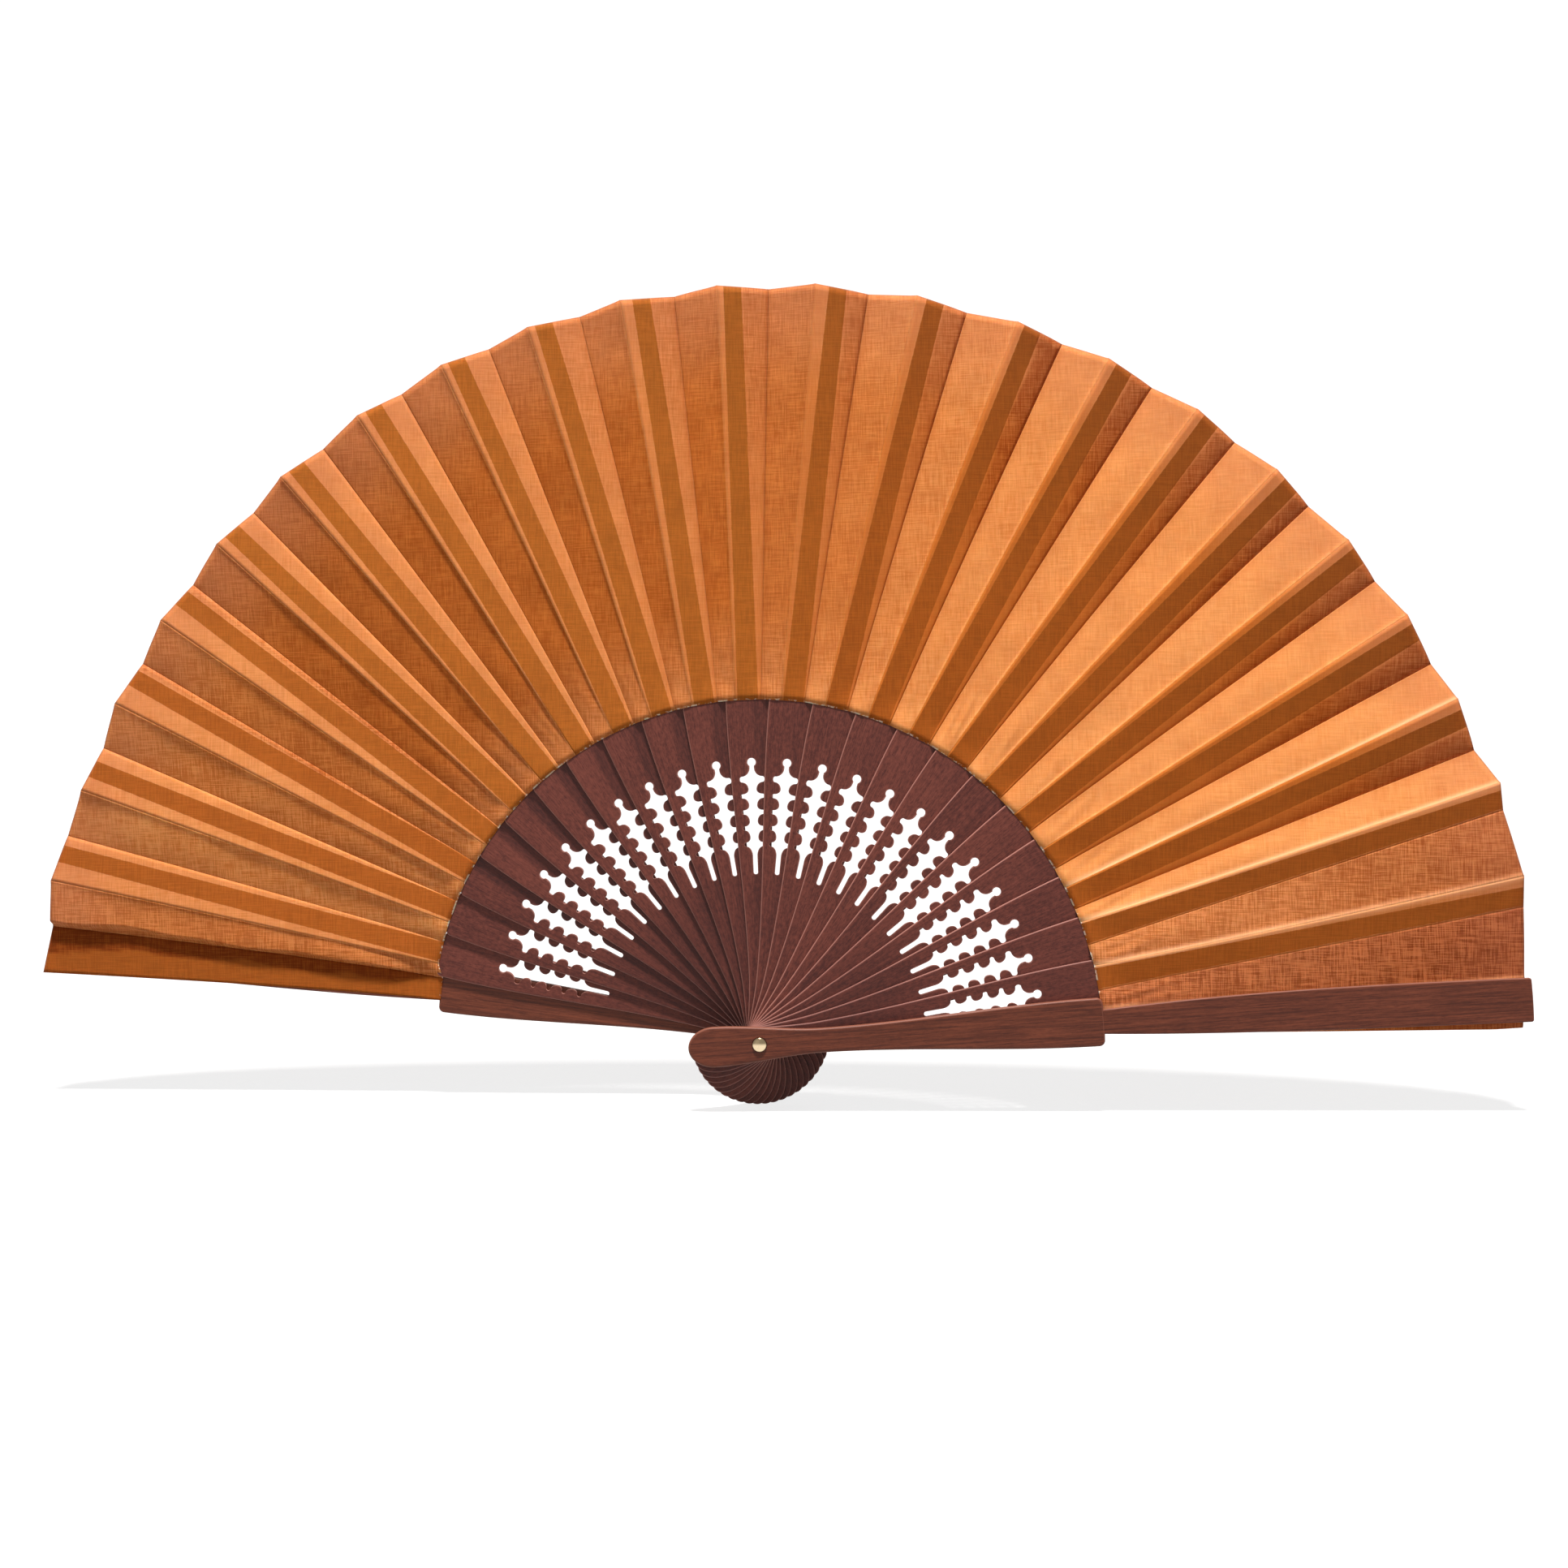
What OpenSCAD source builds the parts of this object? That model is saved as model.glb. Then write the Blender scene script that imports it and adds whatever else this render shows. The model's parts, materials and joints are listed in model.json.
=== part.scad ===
// Folding hand fan, shown fully open: pierced wooden sticks between two guards turn on one rivet
// and carry a pleated cloth leaf. The rivet's axis is Y and passes through the origin. The fan
// opens in the XZ plane, with its front towards -Y. Blade 0 is the front guard, the last blade
// is the rear guard, and the sticks lie between them in order, each behind the one before.
// A blade is drawn along +X, with its thickness along Y and its left edge towards +Z.

/* [Fan] */
// Pierced sticks between the two guards
stick_count = 22; // [12:1:26]
// Angle between neighbouring sticks when open, degrees
stick_step = 7.44; // [6:0.01:8]
// Angle between each guard and the stick next to it when open, degrees
end_step = 6.3; // [5:0.1:8]
// Angle of the front guard above level when open, degrees
front_angle = 3.8; // [0:0.1:8]

/* [Sticks] */
// Thickness of a stick in its pierced part
stick_t = 0.85; // [0.7:0.01:1.1]
// Free space between neighbouring sticks along the rivet
stick_gap = 0.22; // [0.15:0.01:0.4]
// Length of a stick's head beyond the rivet
stick_head_r = 18.6; // [17:0.1:22]
// Width of a stick's head
stick_head_w = 9.6; // [8:0.1:11]
// Width of a stick at its narrowest, just above the rivet
stick_waist_w = 6.2; // [5.5:0.1:7]
// Distance from the rivet to the top of the pierced part
gorge_r = 92.4; // [88:0.1:96]
// Width of a stick at the top of the pierced part
gorge_w = 13; // [12:0.1:14]

/* [Ribs] */
// Thickness of a rib, the thin upper part of a stick under the leaf
rib_t = 0.45; // [0.3:0.01:0.6]
// Width of a rib at its foot
rib_foot_w = 5.7; // [4:0.1:6]
// Width of a rib at its tip
rib_tip_w = 4.9; // [3.5:0.1:5.5]
// Distance from the leaf's outer edge back to the ribs' tips
rib_inset = 2; // [1:0.1:5]

/* [Pierced motif] */
// Distance from the rivet to the centre of the ball at the motif's top
ball_r = 76.2; // [75.4:0.1:80]
// Radius of that ball
ball_radius = 1.18; // [0.9:0.01:1.4]
// Half the width of the neck under the ball and of the slot at the foot
slot_half = 0.62; // [0.5:0.01:0.8]
// Half the width of the motif at its widest lobe
lobe_half = 3.45; // [3:0.01:3.8]
// How much narrower each next lobe is, on each side
lobe_taper = 0.15; // [0.1:0.01:0.2]
// Distance from one lobe to the next
lobe_pitch = 4.45; // [4.2:0.01:4.6]
// Number of lobes
lobe_count = 5; // [3:1:5]
// Half the width between two facing bumps
bump_gap_half = 1.1; // [0.9:0.01:1.3]
// Length of the narrow slot at the motif's foot
slot_len = 5.1; // [3:0.1:7]

/* [Guards] */
// Thickness of a guard in its lower part
guard_t = 2.2; // [2:0.1:3]
// Thickness of a guard's tip, relieved inside so that the folded leaf fits
guard_tip_t = 1.3; // [1:0.1:1.5]
// Length of a guard's head beyond the rivet
guard_head_r = 19.4; // [19:0.1:23]
// Width of a guard's head
guard_head_w = 10.9; // [9:0.1:12]
// Width of a guard at its narrowest
guard_waist_w = 6.6; // [6:0.1:8]
// How far the guards' shoulders reach past the sticks' ones
shoulder_lead = 0.6; // [0.3:0.1:1.5]
// Width of a guard's tip part at its foot
tip_foot_w = 6.5; // [5:0.1:8]
// Width of a guard's tip part at its end
tip_w = 12.2; // [11:0.1:13]
// Sideways sweep of a guard's tip towards its right edge
tip_sweep = 2; // [0:0.1:3]
// How far the guards reach past the leaf
tip_lead = 0.3; // [0.3:0.1:6]

/* [Leaf] */
// Distance from the rivet to the leaf's outer edge
leaf_r = 207; // [190:1:220]
// Free space between the guards' shoulders and the leaf
leaf_foot_gap = 0.4; // [0.3:0.1:1]
// Thickness of the cloth
cloth_t = 0.16; // [0.1:0.01:0.2]
// Tilt of a pleat about its own centre line, degrees
pleat_tilt = 7.5; // [4:0.1:8]
// Stick's centre line to the front fold at the leaf's inner edge
front_fold_in = 3.05; // [2.9:0.01:3.4]
// Stick's centre line to the front fold at the leaf's outer edge
front_fold_out = 3.95; // [3.5:0.01:4.5]
// Stick's centre line to the rear fold at the leaf's inner edge
rear_fold_in = 3.8; // [3.4:0.01:4]
// Stick's centre line to the rear fold at the leaf's outer edge
rear_fold_out = 9.6; // [8.5:0.01:10]
// Free space between a glued pleat and a free one, along the fold
fold_gap = 0.3; // [0.2:0.01:0.5]

/* [Rivet] */
// Radius of the rivet's pin
pin_radius = 1; // [0.8:0.01:1.2]
// Free space round the pin in each blade
pin_clearance = 0.05; // [0.02:0.01:0.08]
// Radius of the rivet's domed heads
head_radius = 2.05; // [1.8:0.01:2.5]
// Height of the front head
head_h = 1; // [0.8:0.01:1.3]
// Height of the rear head
rear_head_h = 0.8; // [0.6:0.01:1.1]
// Free space between the rear guard and the rear head
head_gap = 0.05; // [0.03:0.01:0.2]

/* [Hidden] */
last = stick_count + 1;
function two_digits(k) = str(k < 10 ? "0" : "", k);
function stick_name(k) = str("stick_", two_digits(k));
function pleat_name(k) = str("leaf_pleat_", two_digits(k));

// Colours
wood = "#6b3a30";
rib_wood = "#8a5238";
cloth = "#e0862f";
brass = "#c9a24d";

// Places along the rivet
pitch = stick_t + stick_gap;
front_face_y = stick_y(1) - stick_t / 2 - stick_gap;
rear_face_y = stick_y(stick_count) + stick_t / 2 + stick_gap;
tip_relief = guard_t - guard_tip_t;
function stick_y(k) = (k - last / 2) * pitch;

// Angles of the blades, counted from level
function blade_angle(k) =
    front_angle + (k == 0 ? 0 : end_step + min(k - 1, stick_count - 1) * stick_step)
    + (k == last ? end_step : 0);

// Common shapes of outlines
function mix(a, b, t) = a + (b - a) * t;
function ease(t) = t * t * (3 - 2 * t);
function ellipse_arc(x, y, rx, ry, from, to, steps) =
    [for (i = [0 : steps]) let (a = mix(from, to, i / steps)) [x + rx * cos(a), y + ry * sin(a)]];
function mirrored(side) = concat(side, [for (i = [len(side) - 1 : -1 : 0]) [side[i].x, -side[i].y]]);

// Outline of a blade's lower part: a round head, a narrow waist and a long flare to the shoulders
waist_r = 17;
head_nose = 7;
shoulder_round = 1.6;
corner_steps = 5;
flare_steps = 14;
neck_steps = 6;
head_steps = 8;
function lower_side(head_r, head_w, waist_w, top_r) = let (bulge_r = head_nose - head_r) concat(
    ellipse_arc(bulge_r, 0, head_nose, head_w / 2, 180, 90, head_steps),
    [for (i = [1 : neck_steps]) let (t = i / neck_steps)
        [mix(bulge_r, waist_r, t), mix(head_w, waist_w, ease(t)) / 2]],
    [for (i = [1 : flare_steps]) let (t = i / flare_steps)
        [mix(waist_r, top_r - shoulder_round, t), mix(waist_w, gorge_w, ease(t)) / 2]],
    ellipse_arc(top_r - shoulder_round, gorge_w / 2 - shoulder_round,
                shoulder_round, shoulder_round, 80, 0, corner_steps));

// Half outline of the pierced motif, from its ball down to the foot of its slot
lobe_nose = 0.6;
bump_upper = 2;
bump_lower = lobe_pitch - 2 * lobe_nose - bump_upper;
neck_h = 0.4;
flare_h = 2.75;
foot_h = 2.6;
top_lobe_r = ball_r - ball_radius - neck_h - flare_h - lobe_nose;
last_lobe_r = top_lobe_r - (lobe_count - 1) * lobe_pitch;
slot_top_r = last_lobe_r - lobe_nose - foot_h;
neck_angle = asin(slot_half / ball_radius);
function lobe_r(i) = top_lobe_r - i * lobe_pitch;
function lobe_edge(i) = lobe_half - i * lobe_taper - lobe_nose;
function motif_side() = concat(
    ellipse_arc(ball_r, 0, ball_radius, ball_radius, 0, 180 - neck_angle, 8),
    ellipse_arc(lobe_r(0) + lobe_nose + flare_h, lobe_edge(0), flare_h, lobe_edge(0) - slot_half,
                270, 184, 5),
    [for (i = [0 : lobe_count - 1]) each concat(
        ellipse_arc(lobe_r(i), lobe_edge(i), lobe_nose, lobe_nose, 0, 180, 4),
        i == lobe_count - 1 ? [] : concat(
            ellipse_arc(lobe_r(i) - lobe_nose - bump_upper, lobe_edge(i),
                        bump_upper, lobe_edge(i) - bump_gap_half, -8, -90, 5),
            ellipse_arc(lobe_r(i) - lobe_nose - bump_upper, lobe_edge(i + 1),
                        bump_lower, lobe_edge(i + 1) - bump_gap_half, -115, -170, 3)))],
    ellipse_arc(slot_top_r, lobe_edge(lobe_count - 1),
                foot_h, lobe_edge(lobe_count - 1) - slot_half, -8, -90, 4),
    ellipse_arc(slot_top_r - slot_len + slot_half, 0, slot_half, slot_half, 90, 180, 4));

// Half width and centre line of a guard's tip, at a share t of its length
shoulder_r = gorge_r + shoulder_lead;
tip_r = leaf_r + tip_lead;
tip_root = 4;
tip_bend = 1.8;
tip_steps = 16;
function tip_half(t) = mix(tip_w, tip_foot_w, pow(1 - t, 3)) / 2;
function tip_middle(t) = -tip_sweep * pow(t, tip_bend);
function tip_edge(side) = [for (i = [0 : tip_steps]) let (t = i / tip_steps)
    [mix(shoulder_r, tip_r, t), tip_middle(t) + side * tip_half(t)]];

// Fold lines of the leaf beside a blade, and the line that a pleat tilts about
leaf_foot_r = shoulder_r + leaf_foot_gap;
function along_leaf(r) = (r - leaf_foot_r) / (leaf_r - leaf_foot_r);
function front_fold(r) = mix(front_fold_in, front_fold_out, along_leaf(r));
function rear_fold(r) = -mix(rear_fold_in, rear_fold_out, along_leaf(r));
function fold_middle(r) = (front_fold(r) + rear_fold(r)) / 2;
middle_turn = atan((fold_middle(leaf_r) - fold_middle(leaf_foot_r)) / (leaf_r - leaf_foot_r));

// Where the cloth's middle lies along the rivet, at a place across a blade
function cloth_y(k, r, z) =
    k == 0 ? front_face_y - tip_relief + cloth_t / 2
    : k == last ? rear_face_y + tip_relief - cloth_t / 2
    : stick_y(k) - (rib_t + cloth_t) / 2 - (z - fold_middle(r)) * sin(pleat_tilt);
function fold_point(k, r, z) = let (a = blade_angle(k))
    [r * cos(a) - z * sin(a), cloth_y(k, r, z), r * sin(a) + z * cos(a)];

// Carries a blade's outline to its place: children are drawn in the XY plane, X along the blade
module blade(k) {
    rotate([0, -blade_angle(k), 0])
        children();
}

// Gives an outline thickness t, with its front face at y
module plate(y, t) {
    translate([0, y + t, 0])
        rotate([90, 0, 0])
            linear_extrude(t)
                children();
}

// Turns what is drawn flat about the middle line between the two folds
module tilted() {
    translate([leaf_foot_r, 0, fold_middle(leaf_foot_r)])
        rotate([0, -middle_turn, 0])
            rotate([pleat_tilt, 0, 0])
                rotate([0, middle_turn, 0])
                    translate([-leaf_foot_r, 0, -fold_middle(leaf_foot_r)])
                        children();
}

// Round hole for the rivet through a plate
bore_lead = 1;
module rivet_bore(y, t) {
    translate([0, y - bore_lead, 0])
        rotate([-90, 0, 0])
            cylinder(r = pin_radius + pin_clearance, h = t + 2 * bore_lead, $fn = 48);
}

// Tongue that joins a stick's pierced part to its rib, which starts clear of the guards' shoulders
neck_w = 3;
neck_t = 0.3;
neck_root = 1.5;
neck_clearance = 0.05;
rib_clearance = 0.1;
rib_foot_r = shoulder_r + rib_clearance;
module neck(y) {
    translate([gorge_r - neck_root, y - neck_t / 2, -neck_w / 2])
        cube([leaf_foot_r - neck_clearance - gorge_r + neck_root, neck_t, neck_w]);
}

// One pierced stick with its rib
module stick(k) {
    y = stick_y(k);
    rib_tip_r = leaf_r - rib_inset;
    color(wood)
        blade(k) {
            difference() {
                plate(y - stick_t / 2, stick_t)
                    polygon(mirrored(lower_side(stick_head_r, stick_head_w, stick_waist_w, gorge_r)));
                plate(y - stick_t, 2 * stick_t)
                    polygon(mirrored(motif_side()));
                rivet_bore(y - stick_t / 2, stick_t);
            }
            neck(y);
            translate([0, y, 0])
                tilted()
                    plate(-rib_t / 2, rib_t)
                        polygon([[rib_foot_r, -rib_foot_w / 2], [rib_tip_r, -rib_tip_w / 2],
                                 [rib_tip_r, rib_tip_w / 2], [rib_foot_r, rib_foot_w / 2]]);
        }
}

// A guard: thick lower part with rounded shoulders, and a wide thin tip. Its outer face is flat
module guard(k, outer_y, tip_y) {
    lower_y = min(outer_y, outer_y + (k == 0 ? 0 : -guard_t));
    color(wood)
        blade(k)
            difference() {
                union() {
                    plate(lower_y, guard_t)
                        polygon(mirrored(
                            lower_side(guard_head_r, guard_head_w, guard_waist_w, shoulder_r)));
                    plate(tip_y, guard_tip_t)
                        polygon(concat([[shoulder_r - tip_root, tip_half(0)]], tip_edge(1),
                                       [for (i = [tip_steps : -1 : 0]) tip_edge(-1)[i]],
                                       [[shoulder_r - tip_root, -tip_half(0)]]));
                }
                rivet_bore(lower_y, guard_t);
            }
}
module front_guard() {
    outer_y = front_face_y - guard_t;
    guard(0, outer_y, outer_y);
}
module rear_guard() {
    outer_y = rear_face_y + guard_t;
    guard(last, outer_y, outer_y - guard_tip_t);
}

// Outline of the cloth glued to a blade, between its two folds
module pleat_outline() {
    polygon([[leaf_foot_r, rear_fold(leaf_foot_r)], [leaf_r, rear_fold(leaf_r)],
             [leaf_r, front_fold(leaf_r)], [leaf_foot_r, front_fold(leaf_foot_r)]]);
}

// Cloth glued to one blade: in front of a rib, or inside a guard's tip
module glued_pleat(k) {
    color(cloth)
        blade(k) {
            if (k == 0)
                plate(front_face_y - tip_relief, cloth_t)
                    intersection() {
                        pleat_outline();
                        translate([0, fold_gap])
                            polygon(concat(tip_edge(1), [for (i = [tip_steps : -1 : 0]) tip_edge(-1)[i]]));
                    }
            else if (k == last)
                plate(rear_face_y + tip_relief - cloth_t, cloth_t)
                    pleat_outline();
            else
                translate([0, stick_y(k), 0])
                    tilted()
                        plate(-rib_t / 2 - cloth_t, cloth_t)
                            pleat_outline();
        }
}

// Cloth between two blades, from the front fold of one to the rear fold of the next
module free_pleat(k) {
    function inset(a, b) = (b - a) * fold_gap / norm(b - a);
    function thick(p) = [[p.x, p.y - cloth_t / 2, p.z], [p.x, p.y + cloth_t / 2, p.z]];
    near_in = fold_point(k, leaf_foot_r, front_fold(leaf_foot_r));
    near_out = fold_point(k, leaf_r, front_fold(leaf_r));
    far_in = fold_point(k + 1, leaf_foot_r, rear_fold(leaf_foot_r));
    far_out = fold_point(k + 1, leaf_r, rear_fold(leaf_r));
    corners = concat(
        thick(near_in + inset(near_in, far_in)), thick(near_out + inset(near_out, far_out)),
        thick(far_out - inset(near_out, far_out)), thick(far_in - inset(near_in, far_in)));
    polyhedron(corners, [
        [0, 2, 4], [0, 4, 6], [1, 5, 3], [1, 7, 5],
        [0, 1, 3], [0, 3, 2], [2, 3, 5], [2, 5, 4],
        [4, 5, 7], [4, 7, 6], [6, 7, 1], [6, 1, 0]]);
}
module leaf_free_pleats() {
    color(cloth)
        for (k = [0 : stick_count])
            free_pleat(k);
}

// A shallow dome on the XY plane, with a short straight rim
rim_h = 0.15;
module dome(h) {
    ball = (pow(head_radius, 2) + pow(h - rim_h, 2)) / (2 * (h - rim_h));
    rotate_extrude($fn = 64)
        polygon(concat([[0, 0], [head_radius, 0]],
                       [for (i = [0 : 12]) let (a = mix(asin(head_radius / ball), 0, i / 12))
                           [ball * sin(a), h - ball + ball * cos(a)]]));
}

// The rivet: a pin through every blade with a domed head on the front guard
rear_head_y = rear_face_y + guard_t + head_gap;
module rivet() {
    front_y = front_face_y - guard_t;
    color(brass) {
        translate([0, front_y, 0])
            rotate([90, 0, 0])
                dome(head_h);
        translate([0, front_y, 0])
            rotate([-90, 0, 0])
                cylinder(r = pin_radius, h = rear_head_y - front_y, $fn = 48);
    }
}
module rivet_rear_head() {
    color(brass)
        translate([0, rear_head_y, 0])
            rotate([-90, 0, 0])
                dome(rear_head_h);
}

front_guard();
rear_guard();
rivet();
rivet_rear_head();
for (k = [1 : stick_count])
    stick(k);
for (k = [0 : last])
    glued_pleat(k);
leaf_free_pleats();
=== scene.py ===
"""A pleated folding hand fan, dressed for rendering.

Pierced wooden sticks between two guards turn on one brass rivet and carry a pleated cotton leaf.
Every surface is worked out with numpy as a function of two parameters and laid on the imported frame.

A blade is described by r, the distance from the rivet along it, v, the distance to its left, and y,
the depth along the rivet. Lengths in the classes are millimetres, and meshes are metres.
"""

import json
import logging
import math
from dataclasses import dataclass, field
from enum import Enum
from functools import reduce

import bmesh  # noqa: E402
import bpy  # noqa: E402
import numpy as np  # noqa: E402
from mathutils import Matrix, Vector  # noqa: E402

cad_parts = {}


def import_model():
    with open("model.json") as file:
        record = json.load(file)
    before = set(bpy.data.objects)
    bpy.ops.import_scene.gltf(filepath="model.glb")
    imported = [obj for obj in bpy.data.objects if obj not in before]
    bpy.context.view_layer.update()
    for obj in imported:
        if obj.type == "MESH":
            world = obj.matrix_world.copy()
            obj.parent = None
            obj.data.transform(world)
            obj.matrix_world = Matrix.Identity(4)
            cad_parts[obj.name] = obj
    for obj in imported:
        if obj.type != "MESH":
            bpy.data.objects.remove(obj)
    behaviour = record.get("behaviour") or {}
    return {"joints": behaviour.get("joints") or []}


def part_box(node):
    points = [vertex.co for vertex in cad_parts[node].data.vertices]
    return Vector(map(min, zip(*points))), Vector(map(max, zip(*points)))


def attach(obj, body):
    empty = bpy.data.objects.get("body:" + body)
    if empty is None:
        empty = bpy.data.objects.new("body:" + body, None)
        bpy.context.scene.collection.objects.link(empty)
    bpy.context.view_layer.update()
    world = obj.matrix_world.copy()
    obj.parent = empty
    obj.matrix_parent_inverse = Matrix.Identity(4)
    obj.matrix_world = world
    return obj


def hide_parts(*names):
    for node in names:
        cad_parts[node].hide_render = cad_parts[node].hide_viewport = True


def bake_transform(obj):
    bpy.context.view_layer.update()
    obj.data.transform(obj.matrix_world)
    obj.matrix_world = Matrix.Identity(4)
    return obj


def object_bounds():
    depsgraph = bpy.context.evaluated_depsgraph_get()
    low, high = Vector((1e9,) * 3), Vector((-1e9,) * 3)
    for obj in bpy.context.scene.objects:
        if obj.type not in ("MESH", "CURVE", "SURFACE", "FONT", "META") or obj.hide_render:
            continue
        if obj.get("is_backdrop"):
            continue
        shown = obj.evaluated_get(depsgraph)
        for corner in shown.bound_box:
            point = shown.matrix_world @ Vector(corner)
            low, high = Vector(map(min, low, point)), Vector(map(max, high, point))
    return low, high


MM = 0.001
LOG = logging.getLogger("hand_fan")

Colour = tuple[float, float, float]
Point = tuple[float, float, float]
Socket = bpy.types.NodeSocket
# Blade numbers, and a value at each of them, mixed straight in between
Table = tuple[tuple[int, ...], tuple[float, ...]]

# Millimetres past every mark that the cloth's material makes
OUT_OF_REACH = 9.0
# How far a piece's texture is moved along the grain for each unit that it is moved across
GRAIN_MOVE = 0.37
# Edges that bend by more than this angle stay sharp, degrees
SHARP_EDGE = 35.0
# Metres between the fan and the floor
FLOOR_GAP = 0.0005


class Slot(Enum):
    """The record's material slots."""

    GUARD = "guard_wood"
    STICK = "stick_wood"
    LEAF = "leaf_cloth"
    RIVET = "rivet_brass"


class Panel(Enum):
    """The two kinds of pleat: one glued to a blade, one free between two blades."""

    GLUED = "glued"
    FREE = "free"


# ---------------------------------------------------------------- curves and grids


def mix(a: np.ndarray | float, b: np.ndarray | float, t: np.ndarray | float) -> np.ndarray | float:
    """Straight mix: a at t = 0, b at t = 1."""
    return a + (b - a) * t


def ease(t: np.ndarray | float) -> np.ndarray | float:
    """Smoothstep of t, held between 0 and 1: t squared times (3 - 2t)."""
    t = np.clip(t, 0.0, 1.0)
    return t * t * (3.0 - 2.0 * t)


def ellipse_arc(
    centre: tuple[float, float], radii: tuple[float, float], span: tuple[float, float], steps: int
) -> np.ndarray:
    """Points on an ellipse: centre plus radii times (cos, sin) of angles spread over the span.

    Args:
        centre: r and v of the ellipse's centre.
        radii: its half axes along r and v.
        span: first and last angle, degrees.
        steps: number of intervals.

    Returns:
        Array of steps + 1 points (r, v).
    """
    a = np.radians(np.linspace(span[0], span[1], steps + 1))
    return np.stack([centre[0] + radii[0] * np.cos(a), centre[1] + radii[1] * np.sin(a)], -1)


def rounded_end(
    top_r: float, half: float, corner: float, crown: float, from_deg: float, steps: int
) -> np.ndarray:
    """End of a half outline: a rounded corner, then a crown that drops as a square to its edge.

    Args:
        top_r: Where the centre line ends.
        half: Half width before the corner.
        corner: Radius of the corner.
        crown: How far the edge of the end stands back from its middle.
        from_deg: First angle of the corner.
        steps: Number of intervals in the corner.

    Returns:
        Points (r, v) down to the centre line.
    """
    flat_v = half - corner
    rounding = ellipse_arc((top_r - corner - crown, flat_v), (corner, corner), (from_deg, 0.0), steps)
    t = np.linspace(1.0, 0.0, 6)[1:]
    return np.concatenate([rounding, np.stack([top_r - crown * t * t, flat_v * t], -1)])


def rising(points: np.ndarray) -> tuple[np.ndarray, np.ndarray]:
    """Sorts outline points by r and keeps one of each r, so v is a function of r.

    Args:
        points: Array of (r, v).

    Returns:
        The r values and the v values.
    """
    order = np.argsort(points[:, 0], kind="stable")
    r, v = points[order, 0], points[order, 1]
    keep = np.concatenate([[True], np.diff(r) > 1e-5])
    return r[keep], v[keep]


@dataclass
class Shell:
    """Collects structured grids of points into one mesh.

    Each grid is an array (rows, columns, 3). A value that belongs to the surface, such as a
    texture coordinate, is an array with the same rows and columns.
    """

    points: list[np.ndarray] = field(default_factory=list)
    quads: list[np.ndarray] = field(default_factory=list)
    values: dict[str, list[np.ndarray]] = field(default_factory=dict)
    count: int = 0

    def add(self, grid: np.ndarray, flip: bool = False, **values: np.ndarray) -> None:
        """Adds one grid. Quad (i, j) joins the points (i, j), (i+1, j), (i+1, j+1), (i, j+1).

        Args:
            grid: Points, millimetres.
            flip: Turns the faces round.
            values: Named surface values, each (rows, columns) or (rows, columns, 2).
        """
        rows, cols = grid.shape[:2]
        index = np.arange(rows * cols).reshape(rows, cols) + self.count
        corners = [index[:-1, :-1], index[1:, :-1], index[1:, 1:], index[:-1, 1:]]
        quads = np.stack(corners, -1).reshape(-1, 4)
        self.quads.append(quads[:, ::-1] if flip else quads)
        self.points.append(grid.reshape(-1, 3))
        for name, value in values.items():
            width = value.shape[-1] if value.ndim == 3 else 1
            self.values.setdefault(name, []).append(value.reshape(rows * cols, width))
        self.count += rows * cols

    def join(self, other: "Shell") -> None:
        """Adds another shell's grids.

        Args:
            other: A shell whose grids have the same named values.
        """
        self.points.extend(other.points)
        self.quads.extend(quads + self.count for quads in other.quads)
        for key, parts in other.values.items():
            self.values[key].extend(parts)
        self.count += other.count

    def build(self, name: str, weld: bool = True) -> bpy.types.Object:
        """Makes the object: a two-column value becomes a UV map, a one-column one an attribute.

        Args:
            name: The piece's name.
            weld: Merges points that coincide and turns the faces outwards, for a closed shell.

        Returns:
            The new object, linked to the scene.
        """
        points = np.concatenate(self.points) * MM
        quads = np.concatenate(self.quads)
        mesh = bpy.data.meshes.new(name)
        mesh.from_pydata(points, [], quads.tolist())
        for key, parts in self.values.items():
            value = np.concatenate(parts).astype(np.float32)
            if value.shape[1] == 2:
                layer = mesh.uv_layers.new(name=key)
                layer.data.foreach_set("uv", value[quads.reshape(-1)].reshape(-1))
            else:
                attribute = mesh.attributes.new(key, "FLOAT", "POINT")
                attribute.data.foreach_set("value", value.reshape(-1))
        if weld:
            work = bmesh.new()
            work.from_mesh(mesh)
            bmesh.ops.remove_doubles(work, verts=work.verts, dist=2e-6)
            bmesh.ops.dissolve_degenerate(work, edges=work.edges, dist=1e-7)
            bmesh.ops.recalc_face_normals(work, faces=work.faces)
            work.to_mesh(mesh)
            work.free()
        mesh.polygons.foreach_set("use_smooth", np.ones(len(mesh.polygons), bool))
        mesh.set_sharp_from_angle(angle=math.radians(SHARP_EDGE))
        mesh.update()
        piece = bpy.data.objects.new(name, mesh)
        bpy.context.scene.collection.objects.link(piece)
        return piece


def dress(
    piece: bpy.types.Object,
    material: bpy.types.Material,
    body: str,
    nodes: list[str],
    tone: float,
) -> None:
    """Gives a finished piece its material, its body and the nodes that it stands for.

    Args:
        piece: The piece.
        material: Its material.
        body: The body that it rides on.
        nodes: CAD nodes that it replaces.
        tone: How much lighter or darker than the rest it is, -1 to 1.
    """
    mesh = piece.data
    mesh.materials.append(material)
    attribute = mesh.attributes.new("tone", "FLOAT", "POINT")
    attribute.data.foreach_set("value", np.full(len(mesh.vertices), tone, np.float32))
    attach(piece, body)
    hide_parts(*nodes)
    LOG.info("%s rides on %s with %d faces", piece.name, body, len(mesh.polygons))


# ---------------------------------------------------------------- the fan's layout


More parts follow.
